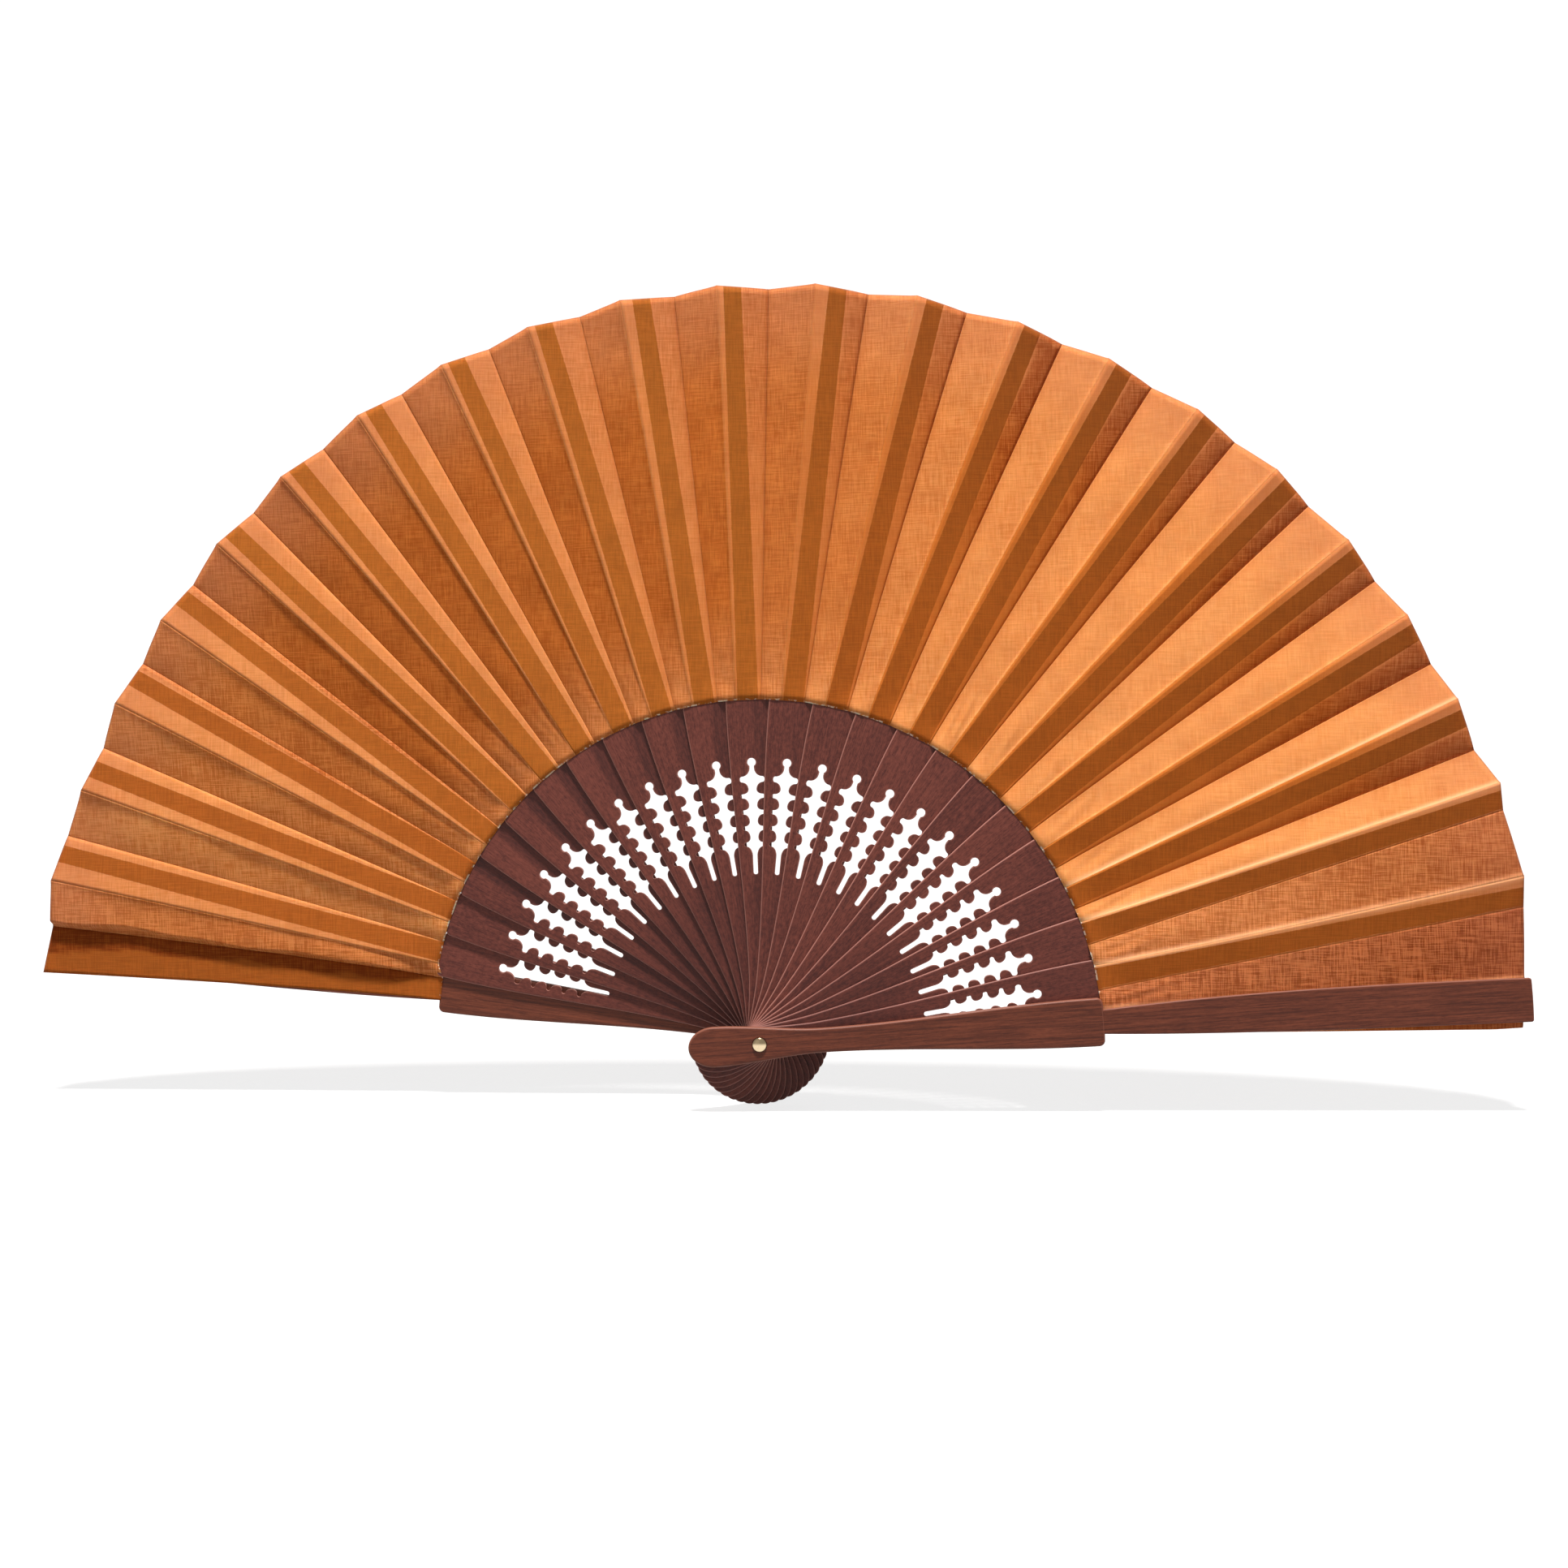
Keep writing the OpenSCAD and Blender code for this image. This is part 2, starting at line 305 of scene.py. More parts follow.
@dataclass(frozen=True)
class Rib:
    """The thin strip past a stick's plate, which carries the cloth: sizes, and how far it is turned."""

    plate_t: float = 0.85
    thickness: float = 0.45
    foot_w: float = 5.7
    tip_w: float = 4.9
    tip_r: float = 205.0
    tilt: float = 7.5


@dataclass
class Layout:
    """Where the blades stand: blade 0 is the front guard, the last blade is the rear guard."""

    stick_count: int
    end_step: float
    stick_step: float
    front_angle: float = 3.8
    pitch: float = 1.07

    @property
    def last(self) -> int:
        """Number of the rear guard."""
        return self.stick_count + 1

    def angle(self, k: int) -> float:
        """Angle of blade k above level: the guards' steps at the ends, equal steps between.

        Args:
            k: Blade number.

        Returns:
            Degrees.
        """
        steps = 0.0 if k == 0 else self.end_step + min(k - 1, self.stick_count - 1) * self.stick_step
        return self.front_angle + steps + (self.end_step if k == self.last else 0.0)

    def depth(self, k: int) -> float:
        """Middle of blade k along the rivet: equal pitches about the origin."""
        return (k - self.last / 2) * self.pitch

    def body(self, k: int) -> str:
        """Name of the body that blade k belongs to."""
        return {0: "front_guard", self.last: "rear_guard"}.get(k, f"blade_{k:02d}")

    def place(self, k: int, local: np.ndarray) -> np.ndarray:
        """Turns blade coordinates into the frame's: (r, v) is turned by the blade's angle.

        Args:
            k: Blade number.
            local: Array (..., 3) of r, v and y.

        Returns:
            Array (..., 3) of X, Y and Z.
        """
        a = math.radians(self.angle(k))
        r, v, y = local[..., 0], local[..., 1], local[..., 2]
        return np.stack([r * math.cos(a) - v * math.sin(a), y, r * math.sin(a) + v * math.cos(a)], -1)


# ---------------------------------------------------------------- shader graphs


class Graph:
    """A short way to write a node tree: nodes are made by type, inputs are values or sockets."""

    def __init__(self, tree: bpy.types.NodeTree) -> None:
        """Starts on an empty tree."""
        self.tree = tree
        tree.nodes.clear()

    def node(self, kind: str, inputs: dict | None = None, **settings: object) -> bpy.types.Node:
        """Adds a node.

        Args:
            kind: Blender's node type, without its ShaderNode prefix.
            inputs: Input name or number to a value, or to the socket that feeds it.
            settings: Properties of the node.

        Returns:
            The node.
        """
        made = self.tree.nodes.new(kind if kind.startswith("NodeGroup") else f"ShaderNode{kind}")
        for name, value in settings.items():
            setattr(made, name, value)
        for key, value in (inputs or {}).items():
            if isinstance(value, Socket):
                self.tree.links.new(value, made.inputs[key])
            else:
                made.inputs[key].default_value = value
        return made

    def math(self, operation: str, a: object, b: object = 0.0, c: object = 0.0) -> Socket:
        """One Math node, and its result."""
        return self.node("Math", {0: a, 1: b, 2: c}, operation=operation).outputs[0]

    def product(self, *factors: object) -> Socket:
        """Product of two or more values, from the left."""
        return reduce(lambda a, b: self.math("MULTIPLY", a, b), factors)

    def rest(self, value: object) -> Socket:
        """What a value leaves of 1."""
        return self.math("SUBTRACT", 1.0, value)

    def swing(self, value: object, gain: object, base: object) -> Socket:
        """A base, plus gain times how far a value is above a half."""
        return self.math("MULTIPLY_ADD", self.math("SUBTRACT", value, 0.5), gain, base)

    def ramp(self, value: object, low: float, high: float, to: tuple[float, float] = (0.0, 1.0)) -> Socket:
        """Smooth step of a value.

        Args:
            value: What is looked at.
            low: Where the step starts.
            high: Where it ends.
            to: Result at either end.

        Returns:
            The result.
        """
        made = self.node(
            "MapRange",
            {"Value": value, "From Min": low, "From Max": high, "To Min": to[0], "To Max": to[1]},
            interpolation_type="SMOOTHSTEP",
        )
        return made.outputs["Result"]

    def blend(self, share: object, a: object, b: object, mode: str = "MIX") -> Socket:
        """Mixes two colours: a at share 0, b at share 1.

        Args:
            share: Share of b, held between 0 and 1.
            a: First colour.
            b: Second colour.
            mode: Blender's blend type.

        Returns:
            The mixed colour.
        """
        made = self.node("Mix", data_type="RGBA", blend_type=mode, clamp_factor=True)
        for socket, value in ((made.inputs[0], share), (made.inputs[6], a), (made.inputs[7], b)):
            if isinstance(value, Socket):
                self.tree.links.new(value, socket)
            else:
                is_colour = isinstance(value, tuple) and len(value) == 3
                socket.default_value = (*value, 1.0) if is_colour else value
        return made.outputs[2]

    def attribute(self, name: str) -> Socket:
        """A value kept on the piece."""
        return self.node("Attribute", attribute_name=name).outputs["Fac"]

    def below(self, value: object, low: float, high: float) -> Socket:
        """1 where a value is under low, 0 where it is over high, and a smooth step between."""
        return self.rest(self.ramp(value, low, high))

    def tinted(self, share: object, colour: object, tint: Colour) -> Socket:
        """A colour multiplied by a tint, by a share."""
        return self.blend(share, colour, self.blend(1.0, colour, tint, "MULTIPLY"))

    def vector(self, operation: str, a: object, b: object) -> Socket:
        """One Vector Math node, and its result. For SCALE, b is the factor."""
        inputs = {0: a, "Scale" if operation == "SCALE" else 1: b}
        return self.node("VectorMath", inputs, operation=operation).outputs[0]

    def bump(self, height: object, strength: float, distance: float) -> Socket:
        """The normal of a surface with fine relief, at a distance in metres."""
        return self.node("Bump", {"Height": height, "Strength": strength, "Distance": distance}).outputs[0]

    def stretched(self, coordinate: object, scale: tuple[float, float, float]) -> Socket:
        """A coordinate scaled along its axes, for a pattern that is longer one way."""
        return self.node("Mapping", {"Vector": coordinate, "Scale": scale}).outputs[0]

    def noise(self, coordinate: object, scale: float, detail: float = 2.0, rough: float = 0.5) -> Socket:
        """Fractal noise from 0 to 1."""
        inputs = {"Vector": coordinate, "Scale": scale, "Detail": detail, "Roughness": rough}
        return self.node("TexNoise", inputs).outputs["Fac"]

    def streaks(self, coordinate: object, scale_u: float, scale_v: float, *fractal: float) -> Socket:
        """Noise that is longer along one axis of a flat coordinate: the one with the smaller scale."""
        return self.noise(self.stretched(coordinate, (scale_u, scale_v, 1.0)), 1.0, *fractal)

    def looked_at(self) -> Socket:
        """Finds the rays that see the surface: straight, in a mirror or through a clear piece.

        Returns:
            1 for such a ray, and 0 for the light's other rays.
        """
        path = self.node("LightPath")
        seen = self.math("MAXIMUM", path.outputs["Is Camera Ray"], path.outputs["Is Glossy Ray"])
        return self.math("MAXIMUM", seen, path.outputs["Is Transmission Ray"])

    def surface(self, kind: str, inputs: dict, output: str = "OutputMaterial") -> None:
        """Closes the tree with one shader, fed by the given inputs."""
        shader = self.node(kind, inputs)
        self.tree.links.new(shader.outputs[0], self.node(output).inputs["Surface"])


def shader_group(name: str, inputs: dict[str, float | None]) -> tuple[Graph, object]:
    """Starts a shader node group with named inputs.

    Args:
        name: The group's name.
        inputs: Input name to its default. An input without a default is a vector.

    Returns:
        The group's graph, and its inputs as sockets to read from.
    """
    graph = Graph(bpy.data.node_groups.new(name, "ShaderNodeTree"))
    for key, default in inputs.items():
        kind = "NodeSocketVector" if default is None else "NodeSocketFloat"
        socket = graph.tree.interface.new_socket(key, in_out="INPUT", socket_type=kind)
        if default is not None:
            socket.default_value = default
    return graph, graph.tree.nodes.new("NodeGroupInput").outputs


def close_group(graph: Graph, results: dict[str, Socket]) -> bpy.types.NodeTree:
    """Gives a shader node group its outputs, which are numbers.

    Args:
        graph: The group's graph.
        results: Output name to the socket that feeds it.

    Returns:
        The group's tree.
    """
    for key in results:
        graph.tree.interface.new_socket(key, in_out="OUTPUT", socket_type="NodeSocketFloat")
    graph.node("NodeGroupOutput", results)
    return graph.tree


def wood_grain_group() -> bpy.types.NodeTree:
    """Grain of a fine, straight hardwood, along the first texture axis.

    Streaks are noise stretched along the wood, pores are short dark dashes where a finer stretched
    noise passes a limit, and mottle is a slow change of tone.

    Returns:
        A group from a coordinate in metres to a tone, a pore mask and a height.
    """
    g, start = shader_group("Wood Grain", {"Vector": None, "Tone": 0.0, "Pores": 1.0, "Mottle": 0.4})
    offset = g.node("CombineXYZ", {0: start["Tone"], 1: start["Tone"]}).outputs[0]
    moved = g.vector("ADD", start["Vector"], offset)
    streaks = g.streaks(moved, 45.0, 1500.0, 4.0, 0.6)
    fibres = g.streaks(moved, 260.0, 4200.0, 2.0, 0.6)
    mottle = g.streaks(moved, 700.0, 1100.0, 4.0, 0.7)
    clouds = g.streaks(moved, 60.0, 160.0, 2.0, 0.5)
    dashes = g.streaks(moved, 420.0, 4200.0, 1.0, 0.5)
    pores = g.product(g.ramp(dashes, 0.6, 0.68), start["Pores"])
    flecks = start["Mottle"]
    shade = g.product(mottle, flecks)
    shade = g.math("MULTIPLY_ADD", streaks, g.math("SUBTRACT", 0.63, flecks), shade)
    shade = g.math("MULTIPLY_ADD", fibres, 0.25, shade)
    shade = g.math("MULTIPLY_ADD", clouds, 0.12, shade)
    height = g.math("SUBTRACT", g.product(fibres, 0.6), pores)
    return close_group(g, {"Shade": shade, "Pore Mask": pores, "Height": height})


def weave_group() -> bpy.types.NodeTree:
    """A fine plain weave with slubs, laid on a flat coordinate in metres.

    Threads are sines along both axes, bent a little by noise. Slubs are long thin streaks along
    both axes, where a thread is thicker.

    Returns:
        A group from a coordinate to a thread pattern, a slub tone and a height.
    """
    g, start = shader_group("Plain Weave", {"Vector": None, "Thread Pitch": 0.00042})
    vector = start["Vector"]
    wander = g.node("TexNoise", {"Vector": vector, "Scale": 260.0, "Detail": 1.0}).outputs["Color"]
    bent = g.vector("ADD", vector, g.vector("SCALE", wander, 0.0005))
    split = g.node("SeparateXYZ", {0: bent})
    turn = g.math("DIVIDE", 2 * math.pi, start["Thread Pitch"])
    warp, weft = (g.math("SINE", g.product(split.outputs[axis], turn)) for axis in (0, 1))
    threads = g.math("MULTIPLY_ADD", g.product(warp, weft), 0.5, 0.5)
    along, over, fractal = 140.0, 2900.0, (2.0, 0.7)
    one_way, other_way = g.streaks(vector, along, over, *fractal), g.streaks(vector, over, along, *fractal)
    slub = g.math("MULTIPLY_ADD", g.math("ADD", one_way, other_way), 1.2, -0.7)
    height = g.math("MULTIPLY_ADD", threads, 0.5, slub)
    return close_group(g, {"Threads": threads, "Slub Tone": slub, "Height": height})


def new_material(name: str) -> tuple[bpy.types.Material, Graph]:
    """A material with an empty node tree.

    Args:
        name: Its name.

    Returns:
        The material, and the graph of its nodes.
    """
    material = bpy.data.materials.new(name)
    material.use_nodes = True
    return material, Graph(material.node_tree)


@dataclass(frozen=True)
class WoodFinish:
    """Waxed red-brown hardwood."""

    name: str
    light: Colour
    dark: Colour
    # Pale rubbed edge colour, which also stands in for a painted highlight on the edges
    edge: Colour
    # Multiplied in as painted shadow beside the next stick and painted shade on the heads; it also darkens
    # the front sticks
    painted_shade_tint: Colour = (0.5, 0.45, 0.47)
    roughness: float = 0.5
    pores: float = 1.0
    mottle: float = 0.42
    bump: float = 0.25

    def material(self, grain: bpy.types.NodeTree) -> bpy.types.Material:
        """Builds the material: grain mixes dark and light, and rubbed edges are paler, which also paints a
        highlight along every edge.

        The attribute corner is 1 where the wood is darkened most: painted shadow against the next stick,
        painted shade on the heads, and the front sticks.

        Args:
            grain: The Wood Grain group.

        Returns:
            The material.
        """
        made, g = new_material(self.name)
        coordinate = g.node("UVMap", uv_map="wood").outputs[0]
        tone, rim, corner = (g.attribute(name) for name in ("tone", "rim", "corner"))
        inputs = {"Vector": coordinate, "Tone": tone, "Pores": self.pores, "Mottle": self.mottle}
        wood = g.node("Group", inputs, node_tree=grain).outputs
        shade = g.math("ADD", wood["Shade"], g.product(tone, 0.03))
        colour = g.blend(g.ramp(shade, 0.36, 0.64), self.dark, self.light)
        colour = g.blend(g.product(wood["Pore Mask"], 0.55), colour, self.dark)
        # Paler rubbed edges, partly a painted highlight along the bevels and hole walls
        colour = g.blend(g.product(rim, 0.75), colour, self.edge)
        # Painted shadow beside the next stick, painted shade on the heads, and darker front sticks
        colour = g.tinted(corner, colour, self.painted_shade_tint)
        look = {
            "Base Color": colour,
            "Roughness": g.math("MULTIPLY_ADD", wood["Shade"], 0.2, self.roughness - 0.08),
            "Normal": g.bump(wood["Height"], self.bump, 5e-5),
            "Specular IOR Level": 0.25,
        }
        g.surface("BsdfPrincipled", look)
        return made


@dataclass(frozen=True)
class ClothFinish:
    """Thin orange cotton, with a darker band where wood backs it.

    Light and dark are the thick cloth's tones, and the other colours are where it is thin, rosy at
    the outer end, frayed or cut. The rest paint light and shade: a golden shade on pleats that face
    away from the light, a paler sheen on the band, a highlight on a crease, shade deep in a valley,
    and shadows.
    """

    name: str
    light: Colour
    dark: Colour
    backed: Colour = (0.4, 0.1, 0.011)
    # Painted sheen: a paler wood colour on the bands that face the light
    tan: Colour = (0.43, 0.122, 0.014)
    thin_light: Colour = (0.54, 0.17, 0.062)
    thin_dark: Colour = (0.25, 0.06, 0.017)
    rose: Colour = (0.56, 0.19, 0.1)
    # Painted shade: multiplied into the pleats that face away from the light, a deeper golden orange
    shade_golden: Colour = (0.82, 0.62, 0.3)
    # Painted highlight along the front fold
    crease: Colour = (0.95, 0.5, 0.26)
    # Painted shade deep in the rear fold
    valley: Colour = (0.42, 0.1, 0.014)
    frayed: Colour = (1.0, 0.8, 0.62)
    # Painted shadow, multiplied in beside rear folds and along the last band
    painted_shadow: Colour = (0.62, 0.45, 0.32)
    cut: Colour = (0.36, 0.15, 0.09)
    patchy: float = 0.16
    weave: float = 0.8
    sheer: float = 0.5
    plain_foot: float = 0.0

    def material(self, weave: bpy.types.NodeTree) -> bpy.types.Material:
        """Builds the material from the weave and from the values kept on the cloth.

        The attribute backed is 0 on the middle of the rib, 1 at its left edge and -1 at its right
        edge. The attributes crest, valley, hem and edge are the distances to the front fold, the
        rear fold, the leaf's inner edge and its outer edge, in millimetres. The others run from 0
        to 1: thin where the cloth looks thinner and browner, warm_shade where a painted shade deepens
        it to a golden orange on pleats that face away from the light, open where its threads show
        most, shadow_share where a painted shadow darkens it, and tan where a painted sheen
        makes the wood behind it look paler. Near the front fold the colour paints a highlight, and
        near the rear fold it paints shade.

        Args:
            weave: The Plain Weave group.

        Returns:
            The material.
        """
        made, g = new_material(self.name)
        coordinate = g.node("UVMap", uv_map="cloth").outputs[0]
        names = ("backed", "crest", "valley", "hem", "edge", "thin", "warm_shade", "open", "shadow_share", "tan")
        backed, crest, valley, hem, edge, thin, warm_shade, loose, shadow_share, tan = map(g.attribute, names)
        cloth = g.node("Group", {"Vector": coordinate}, node_tree=weave).outputs
        slub = cloth["Slub Tone"]

        tone = g.math("ADD", g.swing(cloth["Threads"], 0.1, 0.5), g.math("SUBTRACT", slub, 0.5))
        tone = g.swing(g.noise(coordinate, 60.0, 3.0), 0.35, tone)
        strength = g.math("MULTIPLY_ADD", loose, self.weave * 1.2, self.weave * 0.3)
        share = g.swing(tone, strength, 0.5)
        light = g.blend(thin, self.light, self.thin_light)
        dark = g.blend(thin, self.dark, self.thin_dark)
        colour = g.blend(g.ramp(share, 0.28, 0.72), dark, light)

        # Painted shade: pleats that face away from the light are deepened golden, less at the outer end
        warm_shade_share = g.product(g.ramp(hem, 75.0, 115.0, (1.0, 0.35)), self.foot_warm_shade(g, hem))
        colour = g.tinted(g.product(warm_shade, warm_shade_share), colour, self.shade_golden)
        colour = g.blend(g.product(g.ramp(hem, 85.0, 115.0), 0.3), colour, self.rose)
        uneven = g.swing(g.noise(coordinate, 110.0, 3.0), 2.0 * self.patchy, 1.0)
        colour = g.vector("SCALE", colour, uneven)

        wobble = g.noise(coordinate, 900.0, 2.0)
        band = g.below(g.swing(wobble, 0.12, g.math("ABSOLUTE", backed)), 0.95, 1.03)
        outward = g.product(g.ramp(hem, 30.0, 115.0), warm_shade)
        plainer = g.math("MULTIPLY_ADD", outward, -0.22, 1.0)
        thread = g.product(g.ramp(tone, 0.2, 0.8, (0.84, 1.16)), plainer)
        # Painted sheen: the backed band is paler where it faces the light
        wood_behind = g.vector("SCALE", g.blend(tan, self.backed, self.tan), thread)
        colour = g.blend(g.product(band, 0.95), colour, wood_behind)

        # Painted shade in the rear fold
        colour = g.blend(g.product(g.below(valley, 0.0, 2.2), 0.2), colour, self.valley)
        # Painted highlight along the front fold of the first pleats
        line = g.product(g.below(crest, 0.2, 1.8), 0.6, g.rest(band), g.rest(warm_shade))
        colour = g.blend(line, colour, self.crease)
        # Painted shadow beside the rear folds, streaked by the weave
        streaked = g.math("MULTIPLY_ADD", g.math("SUBTRACT", 0.5, slub), 1.5, 1.0)
        colour = g.tinted(g.product(shadow_share, streaked), colour, self.painted_shadow)

        colour = g.blend(g.product(g.below(edge, 0.0, 0.5), 0.6), colour, self.cut)
        specks = g.ramp(g.noise(coordinate, 420.0, 3.0, 0.7), 0.5, 0.58)
        frays = g.product(g.below(hem, 0.1, 0.55), g.product(specks, 0.9))
        look = {
            "Base Color": g.blend(frays, colour, self.frayed),
            "Roughness": 0.85,
            "Normal": g.bump(cloth["Height"], 0.35, 6e-5),
            "Specular IOR Level": 0.1,
            "Subsurface Weight": self.sheer,
            "Subsurface Radius": (1.0, 0.5, 0.2),
            "Subsurface Scale": 0.0005,
        }
        g.surface("BsdfPrincipled", look)
        return made

    def foot_warm_shade(self, g: Graph, hem: object) -> Socket:
        """Share of the painted golden shade that is left near the inner edge: all of it from 30 mm on."""
        return g.ramp(hem, 0.0, 30.0, (1.0 - self.plain_foot, 1.0))


@dataclass(frozen=True)
class BrassFinish:
    """Polished brass with fine rubbing marks."""

    name: str = "polished_brass"
    colour: Colour = (0.72, 0.58, 0.38)
    tarnish: Colour = (0.4, 0.28, 0.16)
    # Painted dark reflection on the dome's upper half
    shade: Colour = (0.16, 0.115, 0.06)
    grime: Colour = (0.12, 0.06, 0.035)

    def material(self) -> bpy.types.Material:
        """Builds the material: tarnish lies in patches, the upper half is darkened as a painted dark
        reflection, and grime sits round the rim.

        Returns:
            The material.
        """
        made, g = new_material(self.name)
        coordinate = g.node("TexCoord").outputs["Object"]
        cloud = g.noise(coordinate, 1600.0, 3.0)
        marks = g.noise(g.stretched(coordinate, (2500.0, 2500.0, 12000.0)), 1.0, 2.0)
        colour = g.blend(g.ramp(cloud, 0.6, 0.9), self.colour, self.tarnish)
        flat = g.stretched(coordinate, (1.0, 0.0, 1.0))
        radius = g.node("VectorMath", {0: flat}, operation="LENGTH").outputs["Value"]
        height = g.node("SeparateXYZ", {0: coordinate}).outputs[2]
        # Painted dark reflection on the upper half of the dome
        colour = g.blend(g.product(g.ramp(height, -0.0003, 0.0006), 0.85), colour, self.shade)
        look = {
            "Base Color": g.blend(g.ramp(radius, 0.0016, 0.00205), colour, self.grime),
            "Metallic": 1.0,
            "Roughness": g.math("MULTIPLY_ADD", marks, 0.2, 0.12),
            "Normal": g.bump(marks, 0.08, 2e-5),
        }
        g.surface("BsdfPrincipled", look)
        return made


# ---------------------------------------------------------------- wood


@dataclass
class Plate:
    """A flat wooden plate whose half width is a function of r, with rounded long edges.

    The half outline starts and ends on the centre line, and r rises all along it. The holes are
    symmetric too: their half width is a function of r, and 0 where there is no hole.
    """

    outline: np.ndarray
    hole: np.ndarray
    thickness: float
    round_over: float
    columns: int = 12
    sweep: np.ndarray | None = None
    # How much the hole walls and rounded borders take the pale edge: rubbing and a painted highlight
    wall_rub_highlight: float = 0.55
    border_rub_highlight: tuple[float, ...] = (0.0, 0.5, 1.0, 0.7, 0.7, 1.0, 0.5, 0.0)

    def shell(self, y: float, spare: float) -> Shell:
        """Works the plate out as grids in blade coordinates.

        Each row stands at one r. The face runs from the hole's edge, or the centre line, to the
        outline moved inwards along its normal by the round-over. The border turns a quarter of a
        circle on each face and joins them down the side. Walls join the faces round each hole.

        Args:
            y: Depth of the plate's middle.
            spare: Extra v added to the texture coordinate, so that plates differ.

        Returns:
            The shell.
        """
        outline_r, outline_v = rising(self.outline)
        hole_r, hole_v = rising(self.hole)
        within = (hole_r > outline_r[0]) & (hole_r < outline_r[-1])
        r = np.unique(np.concatenate([outline_r, hole_r[within]]))
        w = np.interp(r, outline_r, outline_v)
        h = np.interp(r, hole_r, hole_v, left=0.0, right=0.0)
        tangent = np.stack([np.gradient(r), np.gradient(w)], -1)
        tangent /= np.linalg.norm(tangent, axis=1, keepdims=True)
        normal = np.stack([-tangent[:, 1], tangent[:, 0]], -1)
        normal[0], normal[-1] = (-1.0, 0.0), (1.0, 0.0)
        edge = np.stack([r, w], -1)
        inner = edge - self.round_over * normal
        inner[:, 1] = np.maximum(inner[:, 1], 0.0)
        half = self.thickness / 2
        shell = Shell()
        share = np.linspace(0.0, 1.0, self.columns)[None, :]
        start = np.stack([np.where(h > 0, r, inner[:, 0]), h], -1)
        face = start[:, None, :] * (1 - share[..., None]) + inner[:, None, :] * share[..., None]
        face_rub_highlight = np.where((h > 0)[:, None] & (share == 0.0), 1.0, 0.0)
        turn = np.radians(np.linspace(0.0, 90.0, 4))[None, :, None]
        across = inner[:, None, :] + self.round_over * normal[:, None, :] * np.sin(turn)
        drop = self.round_over * (1 - np.cos(turn[..., 0])) * np.ones((len(r), 1))
        border = np.concatenate([across, across[:, ::-1]], 1)
        border[..., 1] = np.maximum(border[..., 1], 0.0)
        border_depth = np.concatenate([y - half + drop, y + half - drop[:, ::-1]], 1)
        border_rub_highlight = np.tile(np.array(self.border_rub_highlight), (len(r), 1))
        for side in (1.0, -1.0):
            for depth in (y - half, y + half):
                self.lay(shell, face, np.full(face.shape[:2], depth), side, face_rub_highlight, spare)
            self.lay(shell, border, border_depth, side, border_rub_highlight, spare)
            for first, final in self.openings(h):
                wall = np.stack([r[first:final], h[first:final]], -1)[:, None, :].repeat(2, 1)
                wall_depth = np.tile(np.array([y - half, y + half]), (final - first, 1))
                self.lay(shell, wall, wall_depth, side, np.full(wall.shape[:2], self.wall_rub_highlight), spare)
        return shell

    @staticmethod
    def openings(h: np.ndarray) -> list[tuple[int, int]]:
        """Finds the rows that hold a hole.

        Args:
            h: Half width of the hole at each row.

        Returns:
            A range of rows for each hole, with the row before and the row after it.
        """
        inside = np.concatenate([[0], (h > 0).astype(int), [0]])
        change = np.diff(inside)
        firsts, finals = np.nonzero(change == 1)[0], np.nonzero(change == -1)[0]
        return [(max(a - 1, 0), min(b + 1, len(h))) for a, b in zip(firsts, finals)]

    def lay(
        self, shell: Shell, flat: np.ndarray, depth: np.ndarray, side: float, rim: np.ndarray, spare: float
    ) -> None:
        """Adds a grid of (r, v) at a depth, on the left or the right of the centre line.

        Args:
            shell: Where the grid goes.
            flat: Array (rows, columns, 2).
            depth: Array (rows, columns).
            side: 1 for the left half, -1 for the right half.
            rim: How much the surface is a pale rubbed edge with a painted highlight, 0 to 1.
            spare: Extra v in the texture coordinate.
        """
        r, v = flat[..., 0], flat[..., 1] * side
        if self.sweep is not None:
            v = v + np.interp(r, self.sweep[:, 0], self.sweep[:, 1])
        shell.add(np.stack([r, v, depth], -1), wood=wood_texture(r, v + depth * 0.5, spare), rim=rim)


def wood_texture(r: np.ndarray, v: np.ndarray, spare: float) -> np.ndarray:
    """Texture coordinate of the grain: r and v in metres, both moved by the piece's own amount."""
    return np.stack([r * MM + spare * GRAIN_MOVE, v * MM + spare], -1)


@dataclass
class BladeShape:
    """Outline of a blade's lower part: round head, narrow waist, long flare and shoulders."""

    head_r: float
    head_w: float
    waist_w: float
    top_r: float
    top_w: float = 13.0
    waist_r: float = 17.0
    head_nose: float = 7.0
    shoulder: float = 1.6
    crown: float = 0.12

    def outline(self) -> np.ndarray:
        """Half outline as points (r, v), from the head to the top.

        The head is half an ellipse, the waist and the flare are smoothsteps, the shoulder is a
        quarter of a circle, and the top is slightly crowned.

        Returns:
            Array of points.
        """
        bulge = self.head_nose - self.head_r
        nose = ellipse_arc((bulge, 0.0), (self.head_nose, self.head_w / 2), (180.0, 90.0), 16)
        t = np.linspace(0.0, 1.0, 15)[1:]
        waist = np.stack([mix(bulge, self.waist_r, t), mix(self.head_w, self.waist_w, ease(t)) / 2], -1)
        t = np.linspace(0.0, 1.0, 30)[1:]
        end = self.top_r - self.shoulder - self.crown
        flare = np.stack([mix(self.waist_r, end, t), mix(self.waist_w, self.top_w, ease(t)) / 2], -1)
        close = rounded_end(self.top_r, self.top_w / 2, self.shoulder, self.crown, 78.0, 7)
        return np.concatenate([nose, waist, flare, close])


